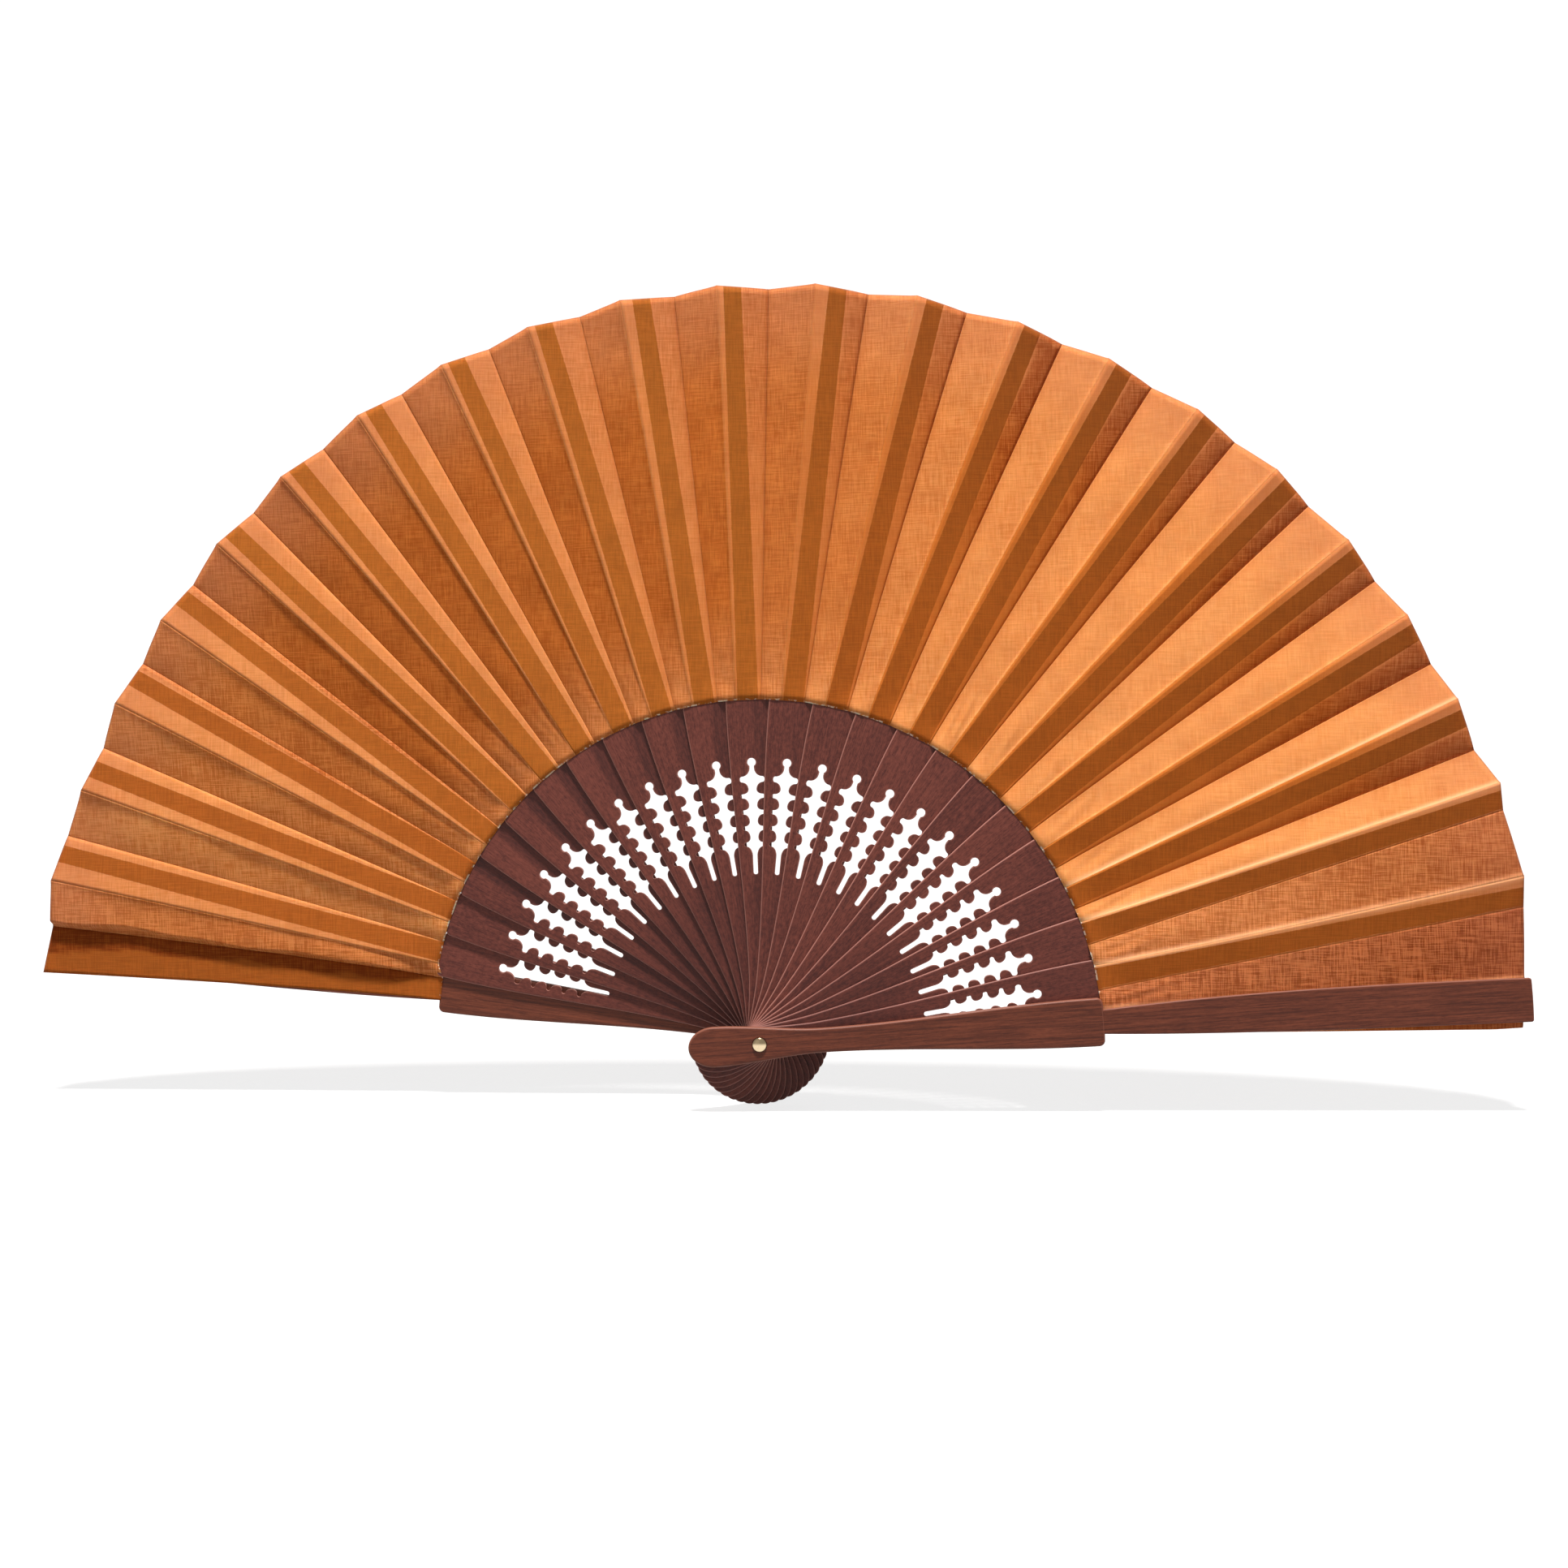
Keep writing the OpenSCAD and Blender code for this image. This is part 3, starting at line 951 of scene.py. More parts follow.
@dataclass
class Motif:
    """The pierced ornament: a ball, a bell, lobes with round bumps between them, and a slot."""

    ball_r: float = 76.2
    ball_radius: float = 1.18
    slot_half: float = 0.62
    lobe_half: float = 3.45
    lobe_taper: float = 0.15
    lobe_pitch: float = 4.45
    lobe_count: int = 5
    lobe_nose: float = 0.6
    bump_gap_half: float = 1.1
    bump_upper: float = 2.0
    neck_h: float = 0.4
    flare_h: float = 2.35
    bell_lip: float = 1.0
    foot_h: float = 2.6
    slot_len: float = 5.1

    def outline(self) -> np.ndarray:
        """Half outline, from the ball down to the slot's foot, made of arcs of ellipses.

        Returns:
            Points (r, v) that start and end on the centre line.
        """
        neck = math.degrees(math.asin(self.slot_half / self.ball_radius))
        top = self.ball_r - self.ball_radius - self.neck_h - self.flare_h - self.bell_lip
        edges = [self.lobe_half - i * self.lobe_taper - self.lobe_nose for i in range(self.lobe_count)]
        lobes = [top - i * self.lobe_pitch for i in range(self.lobe_count)]
        lower = self.lobe_pitch - 2 * self.lobe_nose - self.bump_upper
        bell, first_v = lobes[0] + self.bell_lip + self.flare_h, edges[0]
        parts = [
            ellipse_arc((self.ball_r, 0.0), (self.ball_radius,) * 2, (0.0, 180.0 - neck), 14),
            ellipse_arc((bell, first_v), (self.flare_h, first_v - self.slot_half), (270.0, 183.0), 8),
        ]
        for i, (r, v) in enumerate(zip(lobes, edges)):
            lip = self.lobe_nose if i else (self.bell_lip + self.lobe_nose) / 2
            parts.append(ellipse_arc((r + lip - self.lobe_nose, v), (lip, self.lobe_nose), (0.0, 180.0), 8))
            if i + 1 < self.lobe_count:
                bump, next_v, gap = r - self.lobe_nose - self.bump_upper, edges[i + 1], self.bump_gap_half
                parts.append(ellipse_arc((bump, v), (self.bump_upper, v - gap), (-5.0, -90.0), 9))
                parts.append(ellipse_arc((bump, next_v), (lower, next_v - gap), (-108.0, -174.0), 5))
        slot_top, last_v = lobes[-1] - self.lobe_nose - self.foot_h, edges[-1]
        parts.append(
            ellipse_arc((slot_top, last_v), (self.foot_h, last_v - self.slot_half), (-5.0, -90.0), 8)
        )
        foot = slot_top - self.slot_len + self.slot_half
        parts.append(ellipse_arc((foot, 0.0), (self.slot_half,) * 2, (90.0, 180.0), 6))
        return np.concatenate(parts)


@dataclass
class Sticks:
    """The pierced sticks with their thin ribs.

    Their colour is darkened in three places: a strip of painted shadow beside the stick in front,
    painted shade on the heads, and the whole of the front sticks. Three tables say how much for each
    stick, 0 to 1.
    """

    layout: Layout
    rib: Rib
    shape: BladeShape
    motif: Motif
    material: bpy.types.Material
    round_over: float = 0.38
    bore: float = 1.05
    rib_overlap: float = 0.4
    thin_r: float = 91.2
    thin_length: float = 1.5
    twist_length: float = 5.0
    bevel: float = 0.12
    # A strip of painted shadow beside the stick in front, and painted shade on the heads
    shadow_strip_width: tuple[float, float] = (0.6, 4.2)
    shadow_strip_blur: tuple[float, float] = (0.3, 1.3)
    shaded_head: tuple[float, float] = (30.0, 60.0)
    shadow_strip_depth: Table = ((10, 13, 17, 20, 21), (0.15, 0.7, 0.9, 0.9, 0.0))
    head_shade_depth: Table = ((1, 5, 7, 12, 14, 18, 20, 22), (0.9, 0.4, 0.1, 0.1, 0.55, 0.75, 0.6, 0.2))
    front_depth: Table = ((1, 3), (0.5, 0.0))
    spare_step: float = 0.021
    tone_seed: int = 7

    def holes(self) -> np.ndarray:
        """Half outlines of the rivet's bore and the motif, with the centre line between them.

        Returns:
            Points (r, v).
        """
        bore = ellipse_arc((0.0, 0.0), (self.bore, self.bore), (180.0, 0.0), 12)
        motif = self.motif.outline()
        motif[0, 1] = motif[-1, 1] = bore[0, 1] = bore[-1, 1] = 0.0
        return np.concatenate([bore, motif])

    def add_rib(self, shell: Shell, k: int, leaf: "Leaf", spare: float) -> None:
        """Adds the rib: a thin strip that twists by the pleat's tilt just past the shoulders.

        Its cross-section is a rectangle with bevelled corners, turned about the middle line
        between the two folds. The turn is a smoothstep of r.

        Args:
            shell: Where it goes.
            k: Stick number.
            leaf: The leaf, whose folds set the line of the twist.
            spare: Extra v in the texture coordinate.
        """
        rib, bevel, start = self.rib, self.bevel, self.shape.top_r - self.rib_overlap
        r = np.concatenate([[start], np.linspace(start, rib.tip_r, 40), [rib.tip_r]])
        half = mix(rib.foot_w, rib.tip_w, (r - start) / (rib.tip_r - start)) / 2
        turned = ease((r - start) / self.twist_length)
        thick = mix(rib.plate_t, rib.thickness, turned) / 2
        back = np.full_like(r, rib.thickness / 2)
        closed = np.ones((len(r), 1))
        closed[[0, -1]] = 0.0
        inner = half - bevel
        half_u = [inner, half, half, inner]
        half_c = [-thick, bevel - thick, back - bevel, back]
        shift, pivot = leaf.lean(k, r)[:, None], leaf.middle(k, r)[:, None]
        u = np.stack([*half_u, *(-side for side in half_u), inner], -1) * closed + shift
        c = np.stack([*half_c, *half_c[::-1], -thick], -1) * closed
        turn = math.radians(rib.tilt) * turned[:, None]
        v = pivot + (u - pivot) * np.cos(turn) + c * np.sin(turn)
        y = self.layout.depth(k) - (u - pivot) * np.sin(turn) + c * np.cos(turn)
        along, none = r[:, None] * np.ones_like(v), np.zeros_like(v)
        texture = wood_texture(along, u + c - shift, spare)
        shell.add(self.layout.place(k, np.stack([along, v, y], -1)), wood=texture, rim=none, corner=none)

    def thinned(self, k: int, points: np.ndarray) -> np.ndarray:
        """Planes the back of a plate down to the rib's thickness where the leaf lies between sticks.

        Args:
            k: Stick number.
            points: Array (count, 3) of r, v and y.

        Returns:
            The same points, with the depth behind the middle scaled by a smoothstep of r.
        """
        middle = self.layout.depth(k)
        behind = np.maximum(points[:, 2] - middle, 0.0)
        thinning = ease((points[:, 0] - self.thin_r) / self.thin_length)
        left = mix(1.0, self.rib.thickness / self.rib.plate_t, thinning)
        planed = points.copy()
        planed[:, 2] -= behind * (1.0 - left)
        return planed

    def corner(self, k: int, points: np.ndarray) -> np.ndarray:
        """How much each point of a plate is darkened, mostly by painted shadow and shade.

        The edge of the stick in front is its half width turned by one step, so it crosses this
        plate where v is that half width less r times the step's sine. A strip of painted shadow starts
        there, with a width that grows with r, on the rear sticks. The head is darker on the end sticks,
        as painted shade.

        Args:
            k: Stick number.
            points: Array (count, 3) of r, v and y.

        Returns:
            Array (count, 1), 0 to 1.
        """
        r, v = points[:, 0], points[:, 1]
        edge_r, edge_v = rising(self.shape.outline())
        step = math.radians(self.layout.stick_step)
        start = np.interp(r, edge_r, edge_v) - r * math.sin(step)
        width = mix(*self.shadow_strip_width, r / self.shape.top_r)
        sharp, soft = self.shadow_strip_blur
        # Painted shadow that the stick in front casts
        strip = (1 - ease((v - start - width) / soft + 0.5)) * ease((v - start) / sharp + 1.0)
        strip = strip * np.interp(k, *self.shadow_strip_depth)
        near, away = self.shaded_head
        # Painted shade on the head
        head = np.interp(k, *self.head_shade_depth) * ease((away - r) / (away - near))
        whole = np.interp(k, *self.front_depth)
        return np.maximum(np.maximum(strip, head), whole)[:, None]

    def build(self, leaf: "Leaf") -> None:
        """Makes every stick, in one piece with its rib.

        Args:
            leaf: The leaf that the ribs carry.
        """
        plate = Plate(self.shape.outline(), self.holes(), self.rib.plate_t, self.round_over)
        tones = np.random.default_rng(self.tone_seed).uniform(-1.0, 1.0, self.layout.stick_count + 1)
        for k in range(1, self.layout.stick_count + 1):
            spare = k * self.spare_step
            shell = plate.shell(self.layout.depth(k), spare)
            shell.values["corner"] = [self.corner(k, p) for p in shell.points]
            shell.points = [self.layout.place(k, self.thinned(k, p)) for p in shell.points]
            self.add_rib(shell, k, leaf, spare)
            piece = shell.build(f"pierced_stick_{k:02d}")
            dress(piece, self.material, self.layout.body(k), [f"stick_{k:02d}"], float(tones[k]))


@dataclass
class Guards:
    """The two guard sticks: a thick lower part with rounded shoulders, and a wide thin tip."""

    layout: Layout
    shape: BladeShape
    material: bpy.types.Material
    face_y: float
    thickness: float = 2.2
    tip_t: float = 1.3
    tip_foot_w: float = 6.5
    tip_w: float = 11.8
    tip_sweeps: tuple[float, float] = (-1.6, 1.6)
    tip_bend: float = 1.8
    tip_ends: tuple[float, float] = (206.6, 204.4)
    tip_step: float = 0.1
    tip_overlap: float = 1.2
    tip_corner: float = 0.7
    tip_crown: float = 0.1
    round_over: float = 0.55
    tip_round: float = 0.35
    bore: float = 1.05
    texture_moves: tuple[float, float] = (0.5, 0.7)
    tones: tuple[float, float] = (-0.3, 0.3)

    def tip_outline(self, tip_r: float) -> np.ndarray:
        """Half outline of the tip: it widens as one less the cube of what is left of its length.

        Args:
            tip_r: Where it ends.

        Returns:
            Points (r, v) that start inside the lower part and end on the centre line.
        """
        root, t = self.shape.top_r - self.tip_overlap, np.linspace(0.0, 1.0, 40)
        end = tip_r - self.tip_corner - self.tip_crown
        width = mix(self.tip_w, self.tip_foot_w, (1 - t) ** 3) / 2
        sides = np.stack([mix(root + self.tip_overlap / 2, end, t), width], -1)
        close = rounded_end(tip_r, self.tip_w / 2, self.tip_corner, self.tip_crown, 80.0, 6)
        return np.concatenate([[[root, 0.0]], sides, close])

    def middle(self, sweep: float, tip_r: float) -> np.ndarray:
        """Centre line of the tip: a power curve that sweeps away from the leaf."""
        t = np.linspace(0.0, 1.0, 60)
        return np.stack([mix(self.shape.top_r, tip_r, t), sweep * t**self.tip_bend], -1)

    def build(self) -> None:
        """Makes the front guard and the rear guard."""
        holes = ellipse_arc((0.0, 0.0), (self.bore, self.bore), (180.0, 0.0), 16)
        holes[0, 1] = holes[-1, 1] = 0.0
        none = np.array([[0.0, 0.0], [1.0, 0.0]])
        lower = Plate(self.shape.outline(), holes, self.thickness, self.round_over)
        for i, (k, out) in enumerate(((0, -1.0), (self.layout.last, 1.0))):
            name, tip_r, spare = self.layout.body(k), self.tip_ends[i], self.texture_moves[i]
            outer = out * (self.face_y + self.thickness)
            shell = lower.shell(outer - out * self.thickness / 2, spare)
            sweep = self.middle(self.tip_sweeps[i], tip_r)
            tip = Plate(self.tip_outline(tip_r), none, self.tip_t, self.tip_round, sweep=sweep)
            shell.join(tip.shell(outer - out * (self.tip_t / 2 + self.tip_step), spare))
            shell.points = [self.layout.place(k, p) for p in shell.points]
            piece = shell.build(f"{name}_wood")
            dress(piece, self.material, name, [name], self.tones[i])


# ---------------------------------------------------------------- cloth


@dataclass(frozen=True)
class FoldSet:
    """How the folds and the ribs stand, blade by blade from the front guard.

    Each value is millimetres to the left of an even place: at the outer edge, or at the inner edge
    for rib_in and front_foot. The values in outer are how much farther out the leaf reaches there.
    """

    front: tuple[float, ...] = (
        0.0, 4.5, 2.9, 0.7, -0.3, -1.9, -2.1, -2.4, -1.9, -2.3, -1.0, 0.1,
        0.3, 0.5, 0.4, -0.1, 0.6, 1.5, 1.0, 1.1, 1.6, 1.6, 2.1, 6.0,
    )  # fmt: skip
    rear: tuple[float, ...] = (
        0.0, 0.8, 0.1, -0.4, -1.6, -1.7, -1.7, -2.4, -2.4, -2.2, -1.7, -1.1,
        -0.4, -0.9, -0.8, -0.5, 0.5, 0.9, 1.1, 1.3, 1.5, 1.7, 2.3, 6.0,
    )  # fmt: skip
    rib_out: tuple[float, ...] = (
        0.0, 3.2, 2.5, -0.8, -1.5, -3.0, -3.9, -3.3, -2.9, -2.8, -2.2, -2.2,
        0.0, -1.4, -0.2, -0.6, -0.4, 0.2, -0.6, -3.5, -3.4, -1.3, -2.0, 6.0,
    )  # fmt: skip
    rib_in: tuple[float, ...] = (
        0.0, 1.4, 1.8, 0.0, 0.0, 0.0, 0.0, -0.2, 0.0, 0.0, 0.0, -0.2,
        0.3, 0.3, 0.3, 0.0, 0.3, 0.2, -0.2, -0.4, -0.7, -0.7, -0.4, 0.0,
    )  # fmt: skip
    front_foot: dict[int, float] = field(
        default_factory=lambda: {1: 1.9, 2: 2.0, 12: 0.7, 13: 0.9, 14: 0.7}
    )
    outer: dict[int, float] = field(default_factory=lambda: {0: -3.8, 2: 1.2, 22: 2.2, 23: 1.8})


@dataclass(frozen=True)
class WearAndShade:
    """How the cloth looks on each pleat, from the front guard: 0 for not at all, 1 for most.

    Thin cloth is browner and open cloth shows its threads. The other tables paint light and shade:
    shadow_share is a painted shadow beside the rear fold, the warm_shade tables a painted golden
    shade on pleats that face away from the light, and tan a painted sheen that makes the
    wood behind look paler. The values in inner_shadow stand for shadow_share near the inner edge.
    Backed is the share of thin and open that glued cloth has.
    """

    thin: tuple[float, ...] = (
        0.9, 0.5, 0.0, 0.0, 0.0, 0.0, 0.0, 0.0, 0.0, 0.1, 0.2, 0.35,
        0.35, 0.35, 0.35, 0.35, 0.35, 0.4, 0.35, 0.15, 0.1, 0.0, 0.45, 0.3,
    )  # fmt: skip
    open: tuple[float, ...] = (
        1.0, 0.7, 0.1, 0.05, 0.05, 0.1, 0.1, 0.15, 0.2, 0.3, 0.35, 0.4,
        0.4, 0.4, 0.4, 0.4, 0.45, 0.5, 0.55, 0.8, 0.9, 1.0, 0.9, 0.3,
    )  # fmt: skip
    # Painted shadow beside each rear fold
    shadow_share: tuple[float, ...] = (
        0.6, 0.5, 0.9, 0.7, 0.8, 0.7, 0.8, 0.7, 0.8, 0.9, 0.5, 0.45,
        0.4, 0.3, 0.2, 0.1, 0.0, 0.0, 0.0, 0.3, 0.4, 0.0, 0.0, 0.9,
    )  # fmt: skip
    # Painted golden shade on the free pleats that face away from the light
    free_warm_shade: tuple[float, ...] = (
        0.1, 0.1, 0.0, 0.0, 0.0, 0.0, 0.1, 0.15, 0.25, 0.4, 0.65, 0.8,
        1.0, 1.0, 1.0, 1.0, 1.0, 1.0, 1.0, 0.7, 0.45, 0.25, 0.45,
    )  # fmt: skip
    # Painted golden shade on the glued pleats that face away from the light
    glued_warm_shade: tuple[float, ...] = (
        0.5, 0.3, 0.5, 1.0, 1.0, 1.0, 1.0, 1.0, 1.0, 1.0, 0.8, 0.65,
        0.5, 0.3, 0.2, 0.1, 0.0, 0.0, 0.0, 0.0, 0.0, 0.0, 0.0, 0.3,
    )  # fmt: skip
    # Painted sheen on the bands of the pleats that face the light
    tan: Table = ((10, 12, 18, 20), (0.0, 1.0, 1.0, 0.0))
    inner_shadow: dict[int, float] = field(default_factory=lambda: {19: 0.9, 20: 1.0})
    inner_end: float = 0.3
    outer_start: float = 0.9
    backed: float = 0.3
    rib_blur: float = 0.15
    shadow_strip_blur: float = 0.5


@dataclass
class Leaf:
    """The pleated leaf: a pleat glued to each blade, and a free pleat between two blades.

    The cloth is one strip, divided at its folds because each half of a pleat moves with another
    blade. Neighbouring pleats share the fold's own points, so the leaf is closed at rest. Its folds
    were set by hand, so they and the ribs stand a little off their even places.
    """

    layout: Layout
    rib: Rib
    glued_material: bpy.types.Material
    free_material: bpy.types.Material
    face_y: float
    folds: FoldSet = FoldSet()
    wear_and_shade: WearAndShade = WearAndShade()
    foot_r: float = 93.4
    foot_shift: float = 0.9
    end_foot: float = 1.7
    outer_r: float = 207.3
    outer_shift: float = 1.5
    valley_drop: float = 1.3
    front_in: float = 3.05
    front_out: float = 3.95
    rear_in: float = 3.4
    rear_out: float = 9.6
    set_power: float = 1.3
    seam_gap: float = 0.5
    cloth_t: float = 0.16
    glue_t: float = 0.015
    guard_relief: float = 0.9
    guard_cover: float = 1.2
    guard_reach: float = 9.0
    stuck_half: float = 2.6
    stuck_blur: float = 1.5
    crease_lift: float = 0.6
    valley_depth: float = 0.95
    shallow_depth: float = 0.35
    shallow: tuple[int, int] = (9, 14)
    seamless: tuple[int, ...] = (1, 2)
    # Blades up to this number keep a painted highlight along their front fold
    crest_highlights: int = 3
    soft_from: int = 10
    sharp_onset: float = 0.04
    soft_onset: float = 0.45
    level_r: float = 94.8
    level_length: float = 5.0
    guard_level_length: float = 3.0
    waves: tuple[float, ...] = (1.3, 2.7, 4.6)
    glued_wave: float = 0.06
    free_wave: float = 0.2
    glued_seed: int = 100
    gather_turns: float = 6.0
    gather_slant: float = 22.0
    gather_at: float = 0.1
    gather_spread: float = 0.08
    gathering: Table = ((10, 13), (0.75, 0.2))
    held_share: float = 0.05
    held_depth: float = 0.55
    lift_share: float = 0.12
    loose_share: float = 0.15
    rows: int = 64
    columns: int = 14
    free_extra: int = 20

    def share(self, r: np.ndarray) -> np.ndarray:
        """Share of the leaf's length at r."""
        return np.clip((r - self.foot_r) / (self.outer_r - self.foot_r), 0.0, 1.05)

    def lean(self, k: int, r: np.ndarray) -> np.ndarray:
        """How far the rib of blade k stands to the left of the blade's middle line.

        Args:
            k: Blade number.
            r: Distance along the blade.

        Returns:
            Offset, a straight mix of its two ends.
        """
        return mix(self.folds.rib_in[k], self.folds.rib_out[k], self.share(r))

    def front(self, k: int, r: np.ndarray) -> np.ndarray:
        """Line of the front fold beside a blade."""
        foot, share = self.front_in + self.folds.front_foot.get(k, 0.0), self.share(r)
        return mix(foot, self.front_out, share) + self.folds.front[k] * share**self.set_power

    def crease(self, k: int, r: np.ndarray) -> np.ndarray:
        """Line where the cloth was creased for the rear fold beside a blade."""
        share = self.share(r)
        return -mix(self.rear_in, self.rear_out, share) + self.folds.rear[k] * share**self.set_power

    def rear(self, k: int, r: np.ndarray) -> np.ndarray:
        """Line of the rear fold. On the seamless blades it is pulled flat, right beside the rib.

        Args:
            k: Blade number.
            r: Distance along the blade.

        Returns:
            Distance to the left of the blade.
        """
        if k in self.seamless:
            return self.lean(k, r) - self.rib_half(r) - self.seam_gap
        return self.crease(k, r)

    def middle(self, k: int, r: np.ndarray) -> np.ndarray:
        """Line half way between the two creases, about which a pleat tilts."""
        return (self.front(k, r) + self.crease(k, r)) / 2

    def rib_half(self, r: np.ndarray) -> np.ndarray:
        """Half width of a rib."""
        return mix(self.rib.foot_w, self.rib.tip_w, self.share(r)) / 2

    def valley(self, k: int) -> float:
        """Extra depth of a rear fold: full on the front blades, and less on the rear ones.

        Args:
            k: Blade number.

        Returns:
            Depth at the outer edge.
        """
        if k in self.seamless:
            return 0.0
        first, last = self.shallow
        return mix(self.valley_depth, self.shallow_depth, float(ease((k - first) / (last - first))))

    def depth(self, k: int, r: np.ndarray, v: np.ndarray) -> np.ndarray:
        """Depth of the glued cloth: in front of its rib, tilted, and in front of the plate's end.

        Past the rib the cloth bends back to the rear fold, as the square of the distance.

        Args:
            k: Blade number.
            r: Distance along the blade.
            v: Distance to its left.

        Returns:
            Depth along the rivet.
        """
        slope = math.sin(math.radians(self.rib.tilt))
        if k == 0:
            return -self.face_y - self.guard_relief + self.cloth_t / 2 + 0 * r
        if k == self.layout.last:
            inner = self.face_y + self.guard_relief - self.cloth_t / 2
            settled = ease((r - self.level_r) / self.guard_level_length)
            return mix(self.face_y - self.cloth_t, inner, settled)
        middle = self.layout.depth(k)
        tilted = middle - (self.rib.thickness + self.cloth_t) / 2 - (v - self.middle(k, r)) * slope
        rib_edge = self.lean(k, r) - self.rib_half(r)
        bare = np.clip((rib_edge - v) / (rib_edge - self.rear(k, r)), 0.0, 1.0)
        tilted = tilted + self.valley(k) * self.share(r) * bare**2
        level = middle - self.rib.plate_t / 2 - self.cloth_t / 2 - self.glue_t
        return mix(level, tilted, ease((r - self.level_r) / self.level_length))

    def reach(self, k: int, share: np.ndarray, across: np.ndarray) -> np.ndarray:
        """Radius at a share of the length: from the inner edge to the scalloped outer edge.

        Both edges are circles that stand a little off the rivet, as a cosine of the angle, and the
        outer edge drops straight from the front fold to the rear fold.

        Args:
            k: Blade number.
            share: Share of the length.
            across: 0 at a front fold and 1 at a rear fold.

        Returns:
            Distance along the blade.
        """
        side = math.cos(math.radians(self.layout.angle(k)))
        foot = self.foot_r - self.foot_shift * side - (self.end_foot if k == self.layout.last else 0.0)
        outer = self.outer_r + self.outer_shift * side + self.folds.outer.get(k, 0.0)
        return mix(foot, outer - self.valley_drop * across, share)

    def surface_values(
        self,
        k: int,
        place: tuple[np.ndarray, np.ndarray],
        ends: tuple[np.ndarray, np.ndarray],
        folds: tuple[np.ndarray, np.ndarray],
        flat: np.ndarray,
        kind: Panel,
    ) -> dict:
        """Values kept on the cloth for its material.

        Args:
            k: Blade number.
            place: Distances along the blade and to its left.
            ends: Distances to the inner edge and to the outer edge, millimetres.
            folds: Distances to the front fold and to the rear fold, millimetres.
            flat: Points of the open leaf, for the weave's coordinate.
            kind: Glued or free.

        Returns:
            Attribute name to array.
        """
        (r, v), (crest, valley) = place, folds
        wear_and_shade, away = self.wear_and_shade, np.full_like(v, OUT_OF_REACH)
        if kind is Panel.GLUED:
            backed, shadow_share = self.backing(k, r, v, valley)
            no_valley = k in self.seamless or k > self.shallow[1]
            thin, warm_shade = wear_and_shade.backed * wear_and_shade.thin[k], wear_and_shade.glued_warm_shade[k]
            loose = wear_and_shade.backed * wear_and_shade.open[k] + (1 - wear_and_shade.backed) * shadow_share
        else:
            no_valley = k + 1 in self.seamless
            backed, shadow_share = away, self.painted_shadow(k, r) if no_valley else np.zeros_like(v)
            thin, warm_shade, loose = wear_and_shade.thin[k], wear_and_shade.free_warm_shade[k], np.full_like(v, wear_and_shade.open[k])
        return {
            "cloth": flat[..., (0, 2)] * MM,
            "backed": backed,
            "crest": away if k > self.crest_highlights else crest,
            "valley": away if no_valley else valley,
            "hem": ends[0],
            "edge": ends[1],
            "thin": np.full_like(v, thin),
            "warm_shade": np.full_like(v, warm_shade),
            "open": loose,
            "shadow_share": shadow_share,
            "tan": np.full_like(v, np.interp(k, *wear_and_shade.tan)),
        }

    def painted_shadow(self, k: int, r: np.ndarray) -> np.ndarray:
        """How much painted shadow a pleat has where it has any: one share inside that eases to another.

        Args:
            k: Blade number.
            r: Distance along the blade.

        Returns:
            0 to 1.
        """
        wear_and_shade = self.wear_and_shade
        outwards = ease((self.share(r) - wear_and_shade.inner_end) / (wear_and_shade.outer_start - wear_and_shade.inner_end))
        return mix(wear_and_shade.inner_shadow.get(k, 0.0), wear_and_shade.shadow_share[k], outwards)

    def backing(
        self, k: int, r: np.ndarray, v: np.ndarray, valley: np.ndarray
    ) -> tuple[np.ndarray, np.ndarray]:
        """Where the rib backs a glued pleat, and how much painted shadow the pleat has beside its rear
        fold.

        The cloth has painted shadow where no wood backs it. The last pleat has wood behind all of it
        and has painted shadow in a strip along its rear fold.

        Args:
            k: Blade number.
            r: Distance along the blade.
            v: Distance to its left.
            valley: Distance to the rear fold.

        Returns:
            Distance from the rib's middle line as a share of its half width, and the painted shadow.
        """
        if k == self.layout.last:
            # Painted shadow that the loose last pleat casts on the band
            past = ease((valley - self.curtain(self.share(r))) / self.wear_and_shade.shadow_strip_blur + 0.5)
            return np.zeros_like(v), self.wear_and_shade.shadow_share[k] * (1 - past)
        backed = (v - self.lean(k, r)) / self.rib_half(r)
        return backed, self.painted_shadow(k, r) * ease((-1.0 - backed) / self.wear_and_shade.rib_blur)

    def onset(self, k: int, r: np.ndarray, v: np.ndarray, width: np.ndarray) -> np.ndarray | float:
        """Share of a free pleat's width over which it bends back behind its front fold.

        The bend is sharp on the front pleats. Behind them it takes about half of the way from the
        fold to the edge of the rib.

        Args:
            k: Blade number.
            r: Distance along the blade.
            v: Place of the front fold.
            width: Width of the pleat, millimetres.

        Returns:
            Share of the width.
        """
        if k < self.soft_from:
            return self.sharp_onset
        gap = v - self.lean(k, r) - self.rib_half(r)
        return np.maximum(self.soft_onset * gap / width, self.sharp_onset)

    def curtain(self, share: np.ndarray) -> np.ndarray:
        """Width of the painted shadow strip beside the last rear fold: it widens outwards, in soft waves.
        """
        waves = 0.45 * np.sin(21.0 * share + 0.6) + 0.25 * np.sin(47.0 * share)
        return 3.4 * ease(share / 0.15) + 3.9 * share**4 + waves * ease(share / 0.3)

    def grid(self, extra: int = 0) -> tuple[np.ndarray, np.ndarray]:
        """Shares of the length and of the width, as a grid of rows and columns."""
        columns = np.linspace(0.0, 1.0, self.columns + extra)
        return np.meshgrid(np.linspace(0.0, 1.0, self.rows), columns, indexing="ij")

